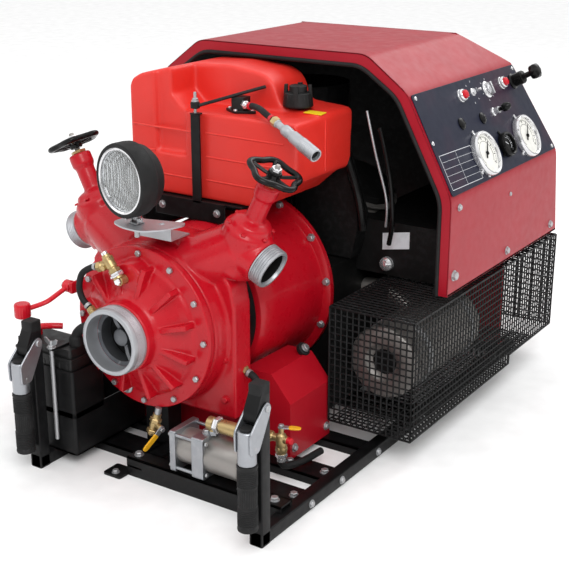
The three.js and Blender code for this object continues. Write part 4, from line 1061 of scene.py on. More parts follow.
def add_engine():
    for name in ("engine_block", "engine_shroud"):
        data = NODES[name].data
        data.materials.clear()
        data.materials.append(ENGINE_BLACK)
    fins = Form()
    for side in (-1, 1):
        foot = Vector((PUMP_X + side * 60, back(690), 300))
        head = Vector((PUMP_X + side * 150, back(690), 470))
        axis = (head - foot).normalized()
        for k in range(12):
            fins.turned(rect(0, 84, 0, 3), foot + axis * (52 + 11 * k), axis, 48)
    piece("cylinder_fins", fins, STEEL, slot="engine_black", bevel=0.4)
    ducts = Form()
    path = smooth_path(
        [(96, back(556), 640), (140, back(545), 560), (172, back(548), 470), (176, back(560), 400)], 8,
    )
    ducts.tube(path, 9, 20)
    path = smooth_path(
        [(210, back(560), 610), (236, back(556), 520), (240, back(566), 430), (226, back(580), 372)], 8,
    )
    ducts.tube(path, 5, 16)
    piece("engine_ducts", ducts, GLOSS_BLACK, slot="engine_black", bevel=0)
    cable = Form()
    cable.tube(
        smooth_path(
            [(180, back(560), 640), (206, back(552), 560), (228, back(560), 470), (222, back(572), 410)],
            8,
        ),
        2.6, 12,
    )
    piece("engine_cable", cable, ZINC, bevel=0)
    fan = Form()
    for k in range(5):
        fan.turned(rect(52 - 9 * k, 55 - 9 * k, 0, 3), (PUMP_X, back(556), 430), BACKWARD, 48)
    middle = Vector((PUMP_X, back(557.5), 430))
    for reach in circle(Vector(), RIGHT, UP, 57, 16)[:8]:
        fan.tube([middle - reach, middle + reach], 1.4, 8)
    piece("fan_grille", fan, BLACK, slot="engine_black", bevel=0)


def add_cowl_trim():
    """A blank label and a chrome cap on the front of the engine's side cowl."""
    face = back(599.6)
    label = Form().slab_y([(201, 352), (262, 363), (262, 398), (201, 387)], face - 0.6, face)
    piece("cowl_label", label, LABEL_WHITE, slot="bright_steel", bevel=0)
    cap = Form().turned([(0, 0), (15, 0), (14, 8), (8, 12), (0, 13)], (213, face, 324), FORWARD, 40)
    piece("cowl_cap", cap, CHROME, slot="bright_steel", bevel=0)


add_bell()
add_engine()
add_cowl_trim()


# ---- hood and exhaust guard ------------------------------------------------------------------
def arch(inset):
    """The hood's outline from the front, drawn inward by an inset."""
    side, shoulder, roof = HOOD_HALF
    z0, z1, z2, z3 = HOOD_Z
    half = [
        (side - inset, z0),
        (side - inset, z1 - inset * 0.24),
        (shoulder - inset, z2 - inset * 0.42),
        (roof - inset * 0.45, z3 - inset),
    ]
    return half + [(-x, z) for x, z in half][::-1]


def rear_distance(z):
    """How far back the hood's rear sheet stands at a height."""
    for i in range(3):
        if z <= HOOD_Z[i + 1]:
            part = (z - HOOD_Z[i]) / (HOOD_Z[i + 1] - HOOD_Z[i])
            return HOOD_REAR[i] + (HOOD_REAR[i + 1] - HOOD_REAR[i]) * part
    return HOOD_REAR[3]


def bent(points, radius, steps=4):
    """An open line of corners with its inner corners rounded."""
    points = [Vector(p) for p in points]
    made = [points[0]]
    for before, corner, after in zip(points, points[1:], points[2:]):
        made += fillet(before, corner, after, radius, steps)
    return made + [points[-1]]


def arch_sheet(form, outer, inner, front, rear=None, bend=16):
    """A sheet that follows the hood's arch, back to a distance or to the rear sheet."""
    rings = []
    for (x0, z0), (x1, z1) in zip(bent(arch(outer), bend), bent(arch(inner), bend)):
        far0 = rear or rear_distance(z0) - outer
        far1 = rear or rear_distance(z1) - inner
        rings.append(
            [(x0, back(front), z0), (x0, back(far0), z0), (x1, back(far1), z1), (x1, back(front), z1)]
        )
    return form.shell(rings)


def rear_sheet(form, inset, thick):
    """The three flat panels that close the hood's rear."""
    levels = [(HOOD_HALF[0], HOOD_Z[0]), *zip(HOOD_HALF, HOOD_Z[1:])]
    for (wide, low), (narrow, high) in zip(levels, levels[1:]):
        near, far = back(rear_distance(low) - inset), back(rear_distance(high) - inset)
        wide, narrow = wide - inset - 1.5, narrow - inset - 1.5
        form.prism(
            [(-wide, near, low), (wide, near, low), (narrow, far, high), (-narrow, far, high)],
            (0, -thick, 0), (0, 0, 0),
        )
    return form


def add_hood():
    z0 = HOOD_Z[0]
    sheet = arch_sheet(Form(), 0, 3, HOOD_FRONT)
    arch_sheet(sheet, 0, HOOD_LIP, HOOD_FRONT, HOOD_FRONT + 3)
    rear_sheet(sheet, 0, 3)
    for side in (-1, 1):
        fold = [(387, z0), (387, z0 + 6), (372, z0 + 6), (372, z0 + 3), (384, z0 + 3), (384, z0)]
        sheet.slab_y([(side * x, z) for x, z in fold], back(HOOD_FRONT), back(1079))
    piece("hood_sheet", sheet, HOOD_RED, stands_for=["hood"], slot="hood_red", bevel=1.2, angle=24)
    line = [(x, back(HOOD_FRONT - 0.5), z) for x, z in bent(arch(HOOD_LIP + 1), 20)]
    piece("hood_trim", Form().tube(line, 4.2, 12), RUBBER, slot="grip_rubber", bevel=0)
    # a matte black sheet just inside the hood: painted shade that darkens the hood's underside
    underside_shade = rear_sheet(arch_sheet(Form(), 4, 6, HOOD_FRONT + 5), 5, 1.5)
    piece("hood_inner_shade", underside_shade, INNER_BLACK, slot="frame_black", bevel=0)
    bolts = Form()
    bolts.bolt((387, back(546), 345), RIGHT, 15, 8)
    bolts.bolt((387, back(556), 478), RIGHT, 10, 5)
    for side in (-1, 1):
        for y in (800, 1040):
            bolts.bolt((side * 387, back(y), 330), (side, 0, 0), 12, 6)
    bolts.bolt((-387, back(546), 330), (-1, 0, 0), 12, 6)
    for x in (-230, 0, 230):
        bolts.bolt((x, back(rear_distance(340)), 340), BACKWARD, 12, 6)
    bolts.turned([(0, 0), (4.5, 0), (4, 2.6), (2, 3.4), (0, 3.4)], (387, back(800), 452), RIGHT, 24)
    piece("hood_bolts", bolts, ZINC, bevel=0.4)


def add_guard():
    """Square wire mesh on a round-bar edge, with a step in its underside."""
    x0, x1, y0, y1, z0, z1 = 203.5, 384.5, 392.5, 1093.5, 53.5, 291.5
    step, lift = 856, 20
    pitch, wire = 12.7, 1.8
    floor_end = 1000
    form = Form()
    rows = int((z1 - z0) / pitch)
    columns = int((y1 - y0) / pitch)
    lanes = int((x1 - x0) / pitch)

    def low(y):
        return z0 if y <= step else z0 + lift

    def bar(*ends):
        form.tube([(x, back(y), z) for x, y, z in ends], wire, 4)

    for i in range(columns + 1):
        y = y0 + i * (y1 - y0) / columns
        bar((x1, y, low(y)), (x1, y, z1))
        bar((x0, y, z1 + 0.8), (x1, y, z1 + 0.8))
        if y < floor_end:
            bar((x0, y, low(y) - 0.8), (x1, y, low(y) - 0.8))
    for k in range(rows + 1):
        z = z0 + k * (z1 - z0) / rows
        bar((x1 + 0.8, y0, z), (x1 + 0.8, y1 if z > z0 + lift else step, z))
        bar((x0, y0, z), (x1, y0, z))
        if z > z0 + lift:
            bar((x0, y1, z), (x1, y1, z))
    for j in range(lanes + 1):
        x = x0 + j * (x1 - x0) / lanes
        bar((x, y0 - 0.8, z0), (x, y0 - 0.8, z1))
        bar((x, y1 + 0.8, z0 + lift), (x, y1 + 0.8, z1))
        bar((x, y0, z1), (x, y1, z1))
        floor = [(x, y0, z0), (x, step, z0), (x, step, z0 + lift), (x, floor_end, z0 + lift)]
        for ends in zip(floor, floor[1:]):
            bar(*ends)
    piece("guard_mesh", form, BLACK, stands_for=["exhaust_guard"], slot="guard_black", bevel=0, angle=60)
    edge = Form()
    profile = [
        (x1, y0, z0), (x1, step, z0), (x1, step, z0 + lift), (x1, y1, z0 + lift), (x1, y1, z1),
        (x1, y0, z1), (x1, y0, z0),
    ]
    loops = [
        [(x0, y, z), (x1, y, z), (x1, y, z1), (x0, y, z1), (x0, y, z)]
        for y, z in ((y0, z0), (y1, z0 + lift))
    ]
    for line in (profile, *loops, [(x0, y0, z1), (x0, y1, z1)]):
        for start, end in zip(line, line[1:]):
            edge.tube([(x, back(y), z) for x, y, z in (start, end)], 2.1, 10)
    piece("guard_edge", edge, BLACK, slot="guard_black", bevel=0)


def add_muffler():
    x, z, radius, y0, y1 = 294, 178, 72, 440, 735
    form = Form()
    profile = [
        (0, 12), (26, 12), (34, 8), (38, 1), (46, 0), (60, 0), (radius - 3, 2), (radius, 6), (radius, 16),
        (radius - 1.2, 18), (radius - 1.2, y1 - y0 - 18), (radius, y1 - y0 - 16), (radius, y1 - y0 - 4),
        (radius - 4, y1 - y0), (0, y1 - y0),
    ]
    form.turned(profile, (x, back(y0), z), BACKWARD, 72)
    pipe = [
        (141, back(640), 250), (170, back(640), 252), (200, back(640), 247), (224, back(640), 236),
        (244, back(640), 222),
    ]
    form.tube(smooth_path(pipe, 6), 19, 24)
    form.tube([(x, back(y1 - 4), z - 20), (x, back(y1 + 90), z - 20)], 18, 24)
    piece("muffler_can", form, STEEL, stands_for=["muffler"], slot="muffler_steel", bevel=0)
    # black discs at the bottom of the front recess and in the tailpipe's mouth: painted shade of the hollows,
    # in the tailpipe with soot
    shade_discs = Form().turned(rect(0, 25.8, 11.8, 12.4), (x, back(y0 - 0.6), z), BACKWARD, 32)
    shade_discs.turned(rect(0, 15, 90.2, 90.8), (x, back(y1), z - 20), BACKWARD, 24)
    piece("muffler_hollow_shade", shade_discs, INNER_BLACK, slot="engine_black", bevel=0)
    brackets = Form()
    for y in (500, 690):
        brackets.turned(rect(radius - 0.8, radius + 1.6, 0, 16), (x, back(y), z), BACKWARD, 64)
        brackets.box(x - 6, x + 6, back(y), back(y + 16), z - radius - 8, z - radius + 2)
    piece("muffler_straps", brackets, ZINC, bevel=0.4)
    # a black sheet on the guard's inner side behind the muffler: painted shade for the space inside the guard
    guard_shade = Form().box(203.6, 205, back(396), back(1092), 76, 288)
    piece("guard_inner_shade", guard_shade, INNER_BLACK, slot="guard_black", bevel=0)
    panel = Form()
    panel.box(-216, 298, back(1004), back(1007), 34, 262)
    panel.box(-216, 298, back(1004), back(1034), 30.4, 34)
    piece("rear_sheet", panel, SHEET_RED, stands_for=["rear_panel"], slot="rear_red", bevel=1.2)


add_hood()
add_guard()
add_muffler()


# ---- instrument panel ------------------------------------------------------------------------
PANEL_FOOT = Vector((HOOD_HALF[0], 0, HOOD_Z[1]))
PANEL_UP = Vector((HOOD_HALF[1] - HOOD_HALF[0], 0, HOOD_Z[2] - HOOD_Z[1])).normalized()
PANEL_OUT = Vector((PANEL_UP.z, 0, -PANEL_UP.x))
PANEL_HEIGHT = 212.5
FACE = 2.8


def on_panel(y, up, out=0.0):
    point = PANEL_FOOT + PANEL_UP * up + PANEL_OUT * out
    point.y = back(y)
    return point


def panel_disc(form, spot, profile, sides=48):
    return form.turned(profile, on_panel(*spot), PANEL_OUT, sides)


def panel_slab(form, outline, low, high):
    """An outline of (y, up) points on the panel, raised from one stand-off to another."""
    points = [on_panel(y, up) for y, up in outline]
    return form.prism(points, PANEL_OUT * low, PANEL_OUT * high)


def panel_strip(form, start, end, half, tip, low, high):
    """A raised strip with half a width at each end."""
    a, b = Vector(start), Vector(end)
    across = Vector((-(b - a).y, (b - a).x)).normalized()
    corners = [a + across * half, b + across * tip, b - across * tip, a - across * half]
    panel_slab(form, corners, low, high)


def panel_line(form, start, end, wide=1.1):
    """A thin printed line."""
    panel_strip(form, start, end, wide / 2, wide / 2, FACE - 0.6, FACE - 0.28)


def add_panel():
    plate = Form()
    corners = rounded([(526, 4), (1040, 4), (994, PANEL_HEIGHT - 4), (526, PANEL_HEIGHT - 4)], 7)
    panel_slab(plate, corners, 0.4, 2.4)
    piece("panel_plate", plate, PANEL_BLUE, stands_for=["instrument_panel"], slot="panel_blue", bevel=0.4)
    lines = Form()
    table = [(536, 15), (667, 13), (668, 81), (536, 84)]
    for a, b in zip(table, table[1:] + table[:1]):
        panel_line(lines, a, b)
    for part in (0.2, 0.4, 0.6, 0.8):
        panel_line(lines, (536, 15 + 69 * part), (667.5, 13 + 68 * part), 0.6)
    panel_line(lines, (601, 14), (602, 82.5), 0.6)
    for spot in ((832, 174), (766, 178)):
        for degrees in range(0, 360, 60):
            a = math.radians(degrees + 15)
            start = (spot[0] + 21 * math.cos(a), spot[1] + 21 * math.sin(a))
            end = (spot[0] + 25 * math.cos(a), spot[1] + 25 * math.sin(a))
            panel_line(lines, start, end, 1.4)
    piece("panel_print", lines, LABEL_WHITE, bevel=0)
    screws = Form()
    for spot in ((536, 200), (984, 200), (694, 12), (1024, 12), (532, 110)):
        screws.turned([(0, 2.2), (4.2, 2.2), (4, 4), (2.2, 5), (0, 5.1)], on_panel(*spot), PANEL_OUT, 24)
    piece("panel_screws", screws, CHROME, bevel=0)
    rings = Form()
    for spot in ((711, 178), (906, 177)):
        panel_disc(
            rings, spot,
            [(9.2, 2.2), (13.4, 2.2), (13.4, 5), (12.4, 6), (12.4, 10.5), (11, 12.8), (9.2, 12.8)], 40,
        )
    panel_disc(rings, (766, 178), [(0, 2.2), (9, 2.2), (9, 4), (7.2, 5), (6.4, 7.8), (0, 7.8)], 6)
    panel_disc(rings, (832, 174), [(9.2, 2.2), (18, 2.2), (18, 4), (15, 6.6), (9.2, 6.8)], 48)
    panel_disc(rings, (817, 126), [(4.4, 2.2), (9, 2.2), (9, 6), (7, 8), (7, 18.6), (4.4, 18.8)], 32)
    piece("panel_collars", rings, CHROME, bevel=0.3)
    blanks = Form()
    for spot in ((670, 126), (763, 122)):
        panel_disc(blanks, spot, [(0, 2.2), (12, 2.2), (12, 4.4), (9, 6.6), (0, 7)], 40)
    knurl = [(6.4, 2.2), (17, 2.2), (17, 5), (14, 7)]
    knurl += [
        (r, 8 + k * 2.4 + t)
        for k in range(9) for r, t in ((13.2, 0), (14.4, 0.7), (14.4, 1.5), (13.2, 2.2))
    ]
    knurl += [(12.6, 31), (6.4, 32.4)]
    panel_disc(blanks, (962, 173), knurl, 40)
    piece("panel_blanks", blanks, GLOSS_BLACK, bevel=0)


def add_gauge(word, y, up, radius=46.0, dark=False):
    centre = on_panel(y, up)
    case = Form()
    profile = [
        (radius * 0.86, FACE), (radius - 1, FACE), (radius, FACE + 1.5), (radius, FACE + 11),
        (radius - 1.5, FACE + 14.4), (radius - 4, FACE + 15), (radius - 5.6, FACE + 13.5),
        (radius - 6, FACE + 9), (radius * 0.86, FACE + 8),
    ]
    case.turned(profile, centre, PANEL_OUT, 96)
    for degrees in (100, 220, 340):
        a = math.radians(degrees)
        at = on_panel(y + (radius + 3) * math.cos(a), up + (radius + 3) * math.sin(a))
        case.turned([(0, FACE - 0.4), (3.6, FACE - 0.4), (3.6, FACE + 2), (0, FACE + 3)], at, PANEL_OUT, 24)
    node = "tachometer" if dark else f"gauge_{word}"
    piece(f"{node}_bezel", case, GLOSS_BLACK if dark else CHROME, stands_for=[node], slot="chrome", bevel=0)
    dial = Form().turned(rect(0, radius - 5.8, FACE + 0.4, FACE + 7.4), centre, PANEL_OUT, 64)
    piece(
        f"{node}_dial", dial, GLOSS_BLACK if dark else WHITE, slot="dial_black" if dark else "dial_white",
        bevel=0,
    )
    marks = Form()
    count = 40 if not dark else 24
    for k in range(count + 1):
        angle = math.radians(225 - 270 * k / count)
        long = k % 5 == 0
        inner, outer = (0.62 if long else 0.7) * radius, 0.78 * radius
        points = [(y + r * math.cos(angle), up + r * math.sin(angle)) for r in (inner, outer)]
        half = 0.8 if long else 0.35
        panel_strip(marks, *points, half, half, FACE + 7.3, FACE + 7.7)
    ring = []
    for k in range(41):
        angle = math.radians(225 - 270 * k / 40)
        ring.append(
            on_panel(
                y + 0.55 * radius * math.cos(angle), up + 0.55 * radius * math.sin(angle), FACE + 7.5,
            )
        )
    marks.tube(ring, 0.35, 6)
    piece(f"{node}_marks", marks, LABEL_WHITE if dark else INNER_BLACK, slot="dial_black", bevel=0)
    if dark:
        hand = Form()
        hand.tube([on_panel(y, up, FACE + 9), on_panel(y - 12, up + 8, FACE + 9)], 0.9, 8)
        piece("tachometer_hand", hand, LABEL_WHITE, bevel=0)
        return
    hand = Form()
    hand.turned(
        [(0, FACE + 8.5), (4.2, FACE + 8.5), (4, FACE + 11), (2, FACE + 11.6), (0, FACE + 11.6)], centre,
        PANEL_OUT, 32,
    )
    panel_strip(hand, (y - 8, up - 8.8), (y + 20, up + 22), 1.8, 0.4, FACE + 9, FACE + 10)
    piece(
        f"needle_{word}_hand", hand, INNER_BLACK, f"needle_{word}_body", [f"needle_{word}"],
        "needle_black", bevel=0,
    )


def add_controls():
    for word, spot in (("start", (711, 178)), ("stop", (906, 177))):
        cap = Form()
        profile = [
            (0, FACE + 3.6), (4, FACE + 3.6), (4, FACE + 7.2), (8.5, FACE + 7.2), (8.5, FACE + 13),
            (7.4, FACE + 15), (4, FACE + 16), (0, FACE + 16.2),
        ]
        panel_disc(cap, spot, profile, 40)
        piece(f"{word}_lamp_cap", cap, RED_PLASTIC, f"{word}_button_body", [f"{word}_button"], bevel=0)
    lever = Form()
    y, up = 766, 178
    profile = [(0, 5.8), (2, 5.8), (2.2, 8), (3, 17), (2.6, 19.6), (1.4, 20.4), (0, 20.5)]
    lever.turned([(r, d + FACE) for r, d in profile], on_panel(y, up), PANEL_OUT, 24)
    piece("toggle_bat", lever, CHROME, "toggle_body", ["toggle_lever"], bevel=0)
    y, up = 832, 174
    key = Form()
    key.turned(
        [(0, FACE + 4.4), (8.6, FACE + 4.4), (8.6, FACE + 8), (7.6, FACE + 9), (0, FACE + 9)],
        on_panel(y, up), PANEL_OUT, 40,
    )
    panel_slab(key, rounded(rect(y - 2.2, y + 2.2, up - 13, up + 13), 2), FACE + 8.6, FACE + 14.6)
    piece("key_bow", key, CHROME, "key_body", ["ignition_key"], bevel=0.5)
    choke = Form()
    profile = [
        (0, 2), (4, 2), (4, 22), (6, 22.6), (8.4, 25), (9, 29), (8.6, 34), (7, 38.5), (4, 41.5), (0, 42),
    ]
    choke.turned([(r, d + FACE) for r, d in profile], on_panel(817, 126), PANEL_OUT, 40)
    piece("choke_ball", choke, GLOSS_BLACK, "choke_body", ["choke_knob"], bevel=0)
    throttle = Form()
    foot = on_panel(962, 173)
    throttle.turned(rect(0, 6, FACE + 2, FACE + 47), foot, PANEL_OUT, 32)
    side, over, out = frame_of(PANEL_OUT)
    rings = []
    for distance, radius in ((46, 9), (47, 13), (50, 15), (58, 16), (62, 15), (65, 11), (66, 6)):
        lobed = lambda angle, r=radius: r * (1 + 0.07 * math.cos(6 * angle))
        rings.append(circle(foot + out * (FACE + distance), side, over, lobed, 96))
    throttle.shell(rings)
    piece("throttle_grip", throttle, GLOSS_BLACK, "throttle_body", ["throttle_knob"], bevel=0)


add_panel()
add_gauge("suction", 706, 54)
add_gauge("discharge", 910, 54)
add_gauge("tacho", 809, 54, 26, dark=True)
add_controls()


# ---- fuel tank ---------------------------------------------------------------------------------
def tank_top(x):
    """Height of the tank's gently sloped right top."""
    return 655 - (x - 64) * 7 / 92


def add_tank():
    outline = [
        (-239, 476), (76, 476), (130, 524), (154, 530), (156, 648), (64, 655), (46, 700), (20, 716),
        (-60, 726), (-150, 722), (-214, 706), (-236, 690),
    ]
    form = Form().slab_y(rounded(outline, 12, 4), back(TANK_FRONT), back(TANK_BACK))
    made = piece("tank_skin", form, TANK_RED, stands_for=["fuel_tank"], cast=3.2, soft=16)
    ledge = [(-140, 800), (-140, 672), (-112, TANK_LEDGE), (260, TANK_LEDGE), (260, 800)]
    carved(made, Form().slab_y(ledge, back(TANK_FRONT - 9), back(432)))
    carved(
        made,
        Form().slab_x(
            [(back(336), 552), (back(357), 560), (back(357), 800), (back(336), 800)], -172, -100,
        ),
    )
    ridges = Form()
    for z, start, end in (
        (606, -50, 128), (560, -50, 116), (514, -50, 96), (606, -232, -82), (560, -232, -176),
        (514, -232, -82),
    ):
        ridges.tube([(start, back(TANK_FRONT + 0.8), z + 1), (end, back(TANK_FRONT + 0.8), z - 1)], 2.2, 12)
    seam_y = back((TANK_FRONT + TANK_BACK) / 2)
    ridges.tube([(155.6, seam_y, 540), (155.8, seam_y, 640)], 1.1, 8)
    piece("tank_ridges", ridges, TANK_RED, bevel=0)
    label = Form()
    corners = [(118, 428), (152, 436), (148, 462), (116, 452)]
    label.shell([[(x, back(y), tank_top(x) + lift) for x, y in corners] for lift in (-0.8, 0.5)])
    piece("tank_label", label, LABEL_YELLOW, slot="lever_yellow", bevel=0)


def add_cap():
    x, y, z = 92, back(450), 657.4
    form = Form()
    profile = [
        (0, 0), (29, 0), (29.4, 1.6), (29, 4), (28, 12), (26, 25), (24.6, 26.4), (17, 26.6), (17, 38),
        (15.4, 39.6), (0, 40),
    ]
    form.turned(profile, (x, y, z), UP, 64)
    for out in circle(Vector(), RIGHT, BACKWARD, 1, 24):
        form.tube([Vector((x, y, z + 4)) + out * 28.2, Vector((x, y, z + 22)) + out * 26], 1.1, 6)
    for out in circle(Vector(), RIGHT, BACKWARD, 1, 4, 0.4):
        side = Vector((-out.y, out.x, 0)) * 4.6
        low, high = Vector((x, y, z + 8)) + out * 20, Vector((x, y, z + 41)) + out * 20
        form.shell([
            [low - side, low + side, low + side + out * 8, low - side + out * 8],
            [high - side, high + side, high + side + out * 6, high - side + out * 6],
        ])
    piece("cap_body", form, PLASTIC, "fuel_cap_body", ["fuel_cap"], bevel=0.8)
    seal = Form().turned(rect(0, 27, -0.9, 0.2), (x, y, z), UP, 48)
    piece("cap_seal", seal, RUBBER, bevel=0)


def add_bracket():
    y = back(TANK_FRONT)
    form = Form()
    form.box(-232, 40, y - 10, back(540), 471, 475)
    form.box(-168, 2, y - 14, y - 10, 436, 475)
    form.box(-75, -54, y - 14, y - 10.2, 470, 645)
    form.box(-73, -55, y - 18, y - 2, 643, 646)
    form.box(-232, -228, y, back(540), 440, 473)
    form.box(PUMP_X - 16, PUMP_X + 16, back(400), back(440), 444, 473)
    piece("tank_tray", form, BLACK, stands_for=["tank_bracket"], slot="bracket_black", bevel=0.8)
    studs = Form().rod((-64, y - 12, 645), (-64, y - 12, 686), 3, sides=16, chamfer=0.6)
    for k in range(22):
        studs.turned(
            [(0, 648 + k * 1.7), (3.1, 648.5 + k * 1.7), (3.1, 648.9 + k * 1.7), (0, 649.4 + k * 1.7)],
            (-64, y - 12, 0), UP, 16,
        )
    studs.bolt((-64, y - 12, 668.6), UP, 10, 6)
    studs.bolt((-150, y - 14, 456), FORWARD, 11, 6)
    studs.bolt((-16, y - 14, 456), FORWARD, 11, 6)
    piece("tank_hardware", studs, ZINC, bevel=0.3)
    strap = Form()
    strap.turned(
        [(3.5, 655.2), (8, 655), (9, 656.4), (9, 665.6), (8, 667), (3.5, 667)], (-64, y - 12, 0), UP, 32,
    )
    bar = [(-56, y - 11.6, 661), (-24, y + 18, 672), (10, y + 58, 684), (34, back(426), 692)]
    strap.tube(smooth_path(bar, 6), 5.2, 16, flat=0.6)
    piece("strap_rubber", strap, RUBBER, stands_for=["tank_strap"], bevel=0)


def add_pickup():
    x, y, z = 0, back(392), TANK_LEDGE + 0.4
    form = Form()
    diamond = rounded([(x - 38, y), (x, y - 23), (x + 38, y), (x, y + 23)], 9, 5)
    form.slab_z(diamond, z, z + 5)
    form.slab_z(rounded(rect(x - 14, x + 14, y - 14, y + 14), 4), z + 4, z + 30)
    piece("pickup_block", form, PLASTIC, stands_for=["fuel_pickup"], bevel=0.8)
    screws = Form()
    for dx, dy in ((-26, 0), (0, -17.6), (26, 0)):
        screws.turned(
            [(0, -0.5), (3.8, -0.5), (3.8, 2.2), (2.4, 3.2), (0, 3.4)], (x + dx, y + dy, z + 5), UP, 20,
        )
    start = Vector((x + 13, y - 8.4, z + 17))
    axis = Vector((18, -8, 0)).normalized()
    screws.bolt(start + axis, axis, 15, 8, washer=False)
    screws.rod(start, start + axis * 18, 4.4, sides=24)
    piece("pickup_nut", screws, CHROME, bevel=0.5)
    clamp = Form()
    hose = smooth_path(FUEL_HOSE, 5)
    along = (hose[2] - hose[0]).normalized()
    clamp.turned(rect(6.1, 7.1, 1, 9), hose[0], along, 32)
    end = (hose[-1] - hose[-3]).normalized()
    clamp.turned(rect(6.1, 7.1, 0, 6), hose[-1] - end * 7, end, 32)
    piece("hose_clamps", clamp, RED_PLASTIC, bevel=0)
    brass = Form().turned([(0, -0.5), (4, -0.5), (4, 3), (0, 3.2)], (x + 14, y + 12, z + 5), UP, 20)
    piece("pickup_brass_screw", brass, BRASS, bevel=0.3)


# ---- battery -----------------------------------------------------------------------------------
def add_battery():
    x0, x1, y0, y1 = -292, -148, back(46), back(118)
    case = Form()
    case.slab_z(rounded(rect(x0, x1, y0, y1), 4), 29.4, 214)
    case.slab_z(rounded(rect(x0 - 1, x1 + 1, y0 - 1, y1 + 1), 5), 213, 219)
    case.slab_z(rounded(rect(x0 + 3, x1 - 3, y0 + 3, y1 - 3), 6), 218, 236)
    for k in range(7):
        x = x0 + 16 + 19 * k
        case.box(x, x + 5, y0 - 1, y0 + 1, 60, 208)
    piece("battery_case", case, PLASTIC, stands_for=["battery"], slot="battery_black", bevel=1.2)
    boots = Form()
    for x, lean in ((-164, 26), (-164, 40)):
        path = [
            (x, back(80), 236), (x + 2, back(80), 256), (x + lean * 0.5, back(84), 270),
            (x + lean, back(96), 276),
        ]
        boots.tube(smooth_path(path, 6), 10 if lean < 30 else 6.5, 24, flat=0.9)
    boots.turned([(0, 0), (13, 0), (13, 14), (10, 19), (0, 20)], (-164, back(80), 236), UP, 32)
    piece("battery_boots", boots, RUBBER, bevel=0)
    red = Form()
    red.turned([(0, 0), (12.5, 0), (12.5, 12), (10, 17), (0, 18)], (-268, back(80), 236), UP, 32)
    path = [(-268, back(80), 248), (-252, back(82), 254), (-234, back(90), 256), (-220, back(104), 254)]
    red.tube(smooth_path(path, 6), 6, 20)
    piece("battery_red_cover", red, RED_PLASTIC, bevel=0)
    clamp = Form()
    clamp.box(-194, -176, back(30), y1, 236.4, 240.4)
    piece("battery_clamp_bar", clamp, BLACK, bevel=0.8)
    hold = Form().rod((-185, back(36), 52), (-185, back(36), 253), 3.9, sides=24, chamfer=0.8)
    hold.bolt((-185, back(36), 240.4), UP, 12, 6)
    for side in (-1, 1):
        wing = [(2, 246), (6, 245), (15, 250), (17, 258), (12, 259), (4, 254)]
        hold.slab_y([(-185 + side * a, b) for a, b in wing], back(34.6), back(37.4))
    piece("battery_rod", hold, ZINC, stands_for=["battery_clamp"], bevel=0.5)


# ---- priming pump, valves and plumbing -----------------------------------------------------------
def add_priming():
    y, z = back(112), 80
    blocks = Form()
    for x, width in ((58, 13), (108, 26)):
        section = rounded(rect(y - 37, y + 37, 38.4, 120), 5, 3)
        blocks.slab_x(section, x, x + width)
    for dy, dz in ((-32, 112), (32, 112), (-32, 46), (32, 46)):
        blocks.rod((70, y + dy, dz), (109, y + dy, dz), 3.4, sides=16)
    blocks.rod((132, y, 117), (132, y, 126), 11, sides=6)
    piece("primer_blocks", blocks, CAST_ALLOY, stands_for=["priming_pump"], slot="primer_steel", bevel=1.4)
    drum = Form().rod((70, y, z), (109, y, z), 33, sides=64)
    drum.turned(
        [
            (0, 133.5), (35, 133.5), (36, 135), (36, 210), (34.5, 212), (30, 214), (24, 214.5), (24, 219),
            (22, 220), (0, 220),
        ],
        (0, y, z), RIGHT, 96,
    )
    drum.turned(rect(35.9, 36.5, 196, 205), (0, y, z), RIGHT, 64)
    piece("primer_motor", drum, STEEL, slot="primer_steel", bevel=0)
    screws = Form()
    for dy, dz in ((-30, 110), (30, 110), (-30, 48), (30, 48)):
        screws.bolt((58, y + dy, dz), (-1, 0, 0), 8, 5, washer=False)
        screws.bolt((134, y + dy * 0.98, dz), RIGHT, 8, 5, washer=False)
    screws.bolt((121, y - 6, 120), UP, 12, 7)
    piece("primer_screws", screws, ZINC, bevel=0.3)
    pipe = Form().turned(
        [
            (0, 122), (11, 122), (12.6, 123), (12.6, 134), (11, 136), (8, 137), (8, 150), (12.6, 151),
            (13.2, 156), (13.2, 208), (12, 212), (0, 212),
        ],
        (0, y, 138), RIGHT, 48,
    )
    pipe.rod((132, y, 124), (132, y, 138), 9.5, sides=8)
    piece("primer_pipe", pipe, BRASS, bevel=0.5)
    collar = Form().turned(
        [(0, 137.5), (15, 137.5), (16, 139), (16, 146), (15, 147.5), (0, 147.5)], (0, y, 138), RIGHT,
        6,
    )
    piece("primer_collar", collar, CHROME, slot="bright_steel", bevel=0.6)


def add_drain():
    spot = Vector((PUMP_X + 34, back(128), 100))
    top, foot = spot + Vector((0, 0, 14)), spot + Vector((-12, -6, -30))
    axis = (foot - top).normalized()
    body = Form()
    profile = [
        (0, 0), (8, 0), (8, 7), (9, 8), (9, 26), (8, 27), (8, 30), (8, 42), (6.4, 45.9), (5, 45.9),
        (5, 40), (0, 40),
    ]
    body.turned(profile, top, axis, 40)
    for start, length, radius in ((9, 9, 11.6), (33, 8, 11.6)):
        profile = [
            (0, start), (radius - 1, start), (radius, start + 1), (radius, start + length - 1),
            (radius - 1, start + length), (0, start + length),
        ]
        body.turned(profile, top, axis, 6)
    gland = spot + Vector((14, -8, -10))
    body.rod(spot + Vector((-5, -2, -6)), gland, 5.6, sides=24, chamfer=0.6)
    piece("drain_body", body, BRASS, stands_for=["drain_valve"], bevel=0.4)
    add_lever("drain", gland, Vector((0.95, -0.3, -0.2)).normalized(), Vector((-16, -34, -36)))
    neck = Form().rod(spot + Vector((0, 0, 13.6)), spot + Vector((2, 2, 26)), 6.4, sides=24)
    piece("drain_neck", neck, ZINC, bevel=0.3)


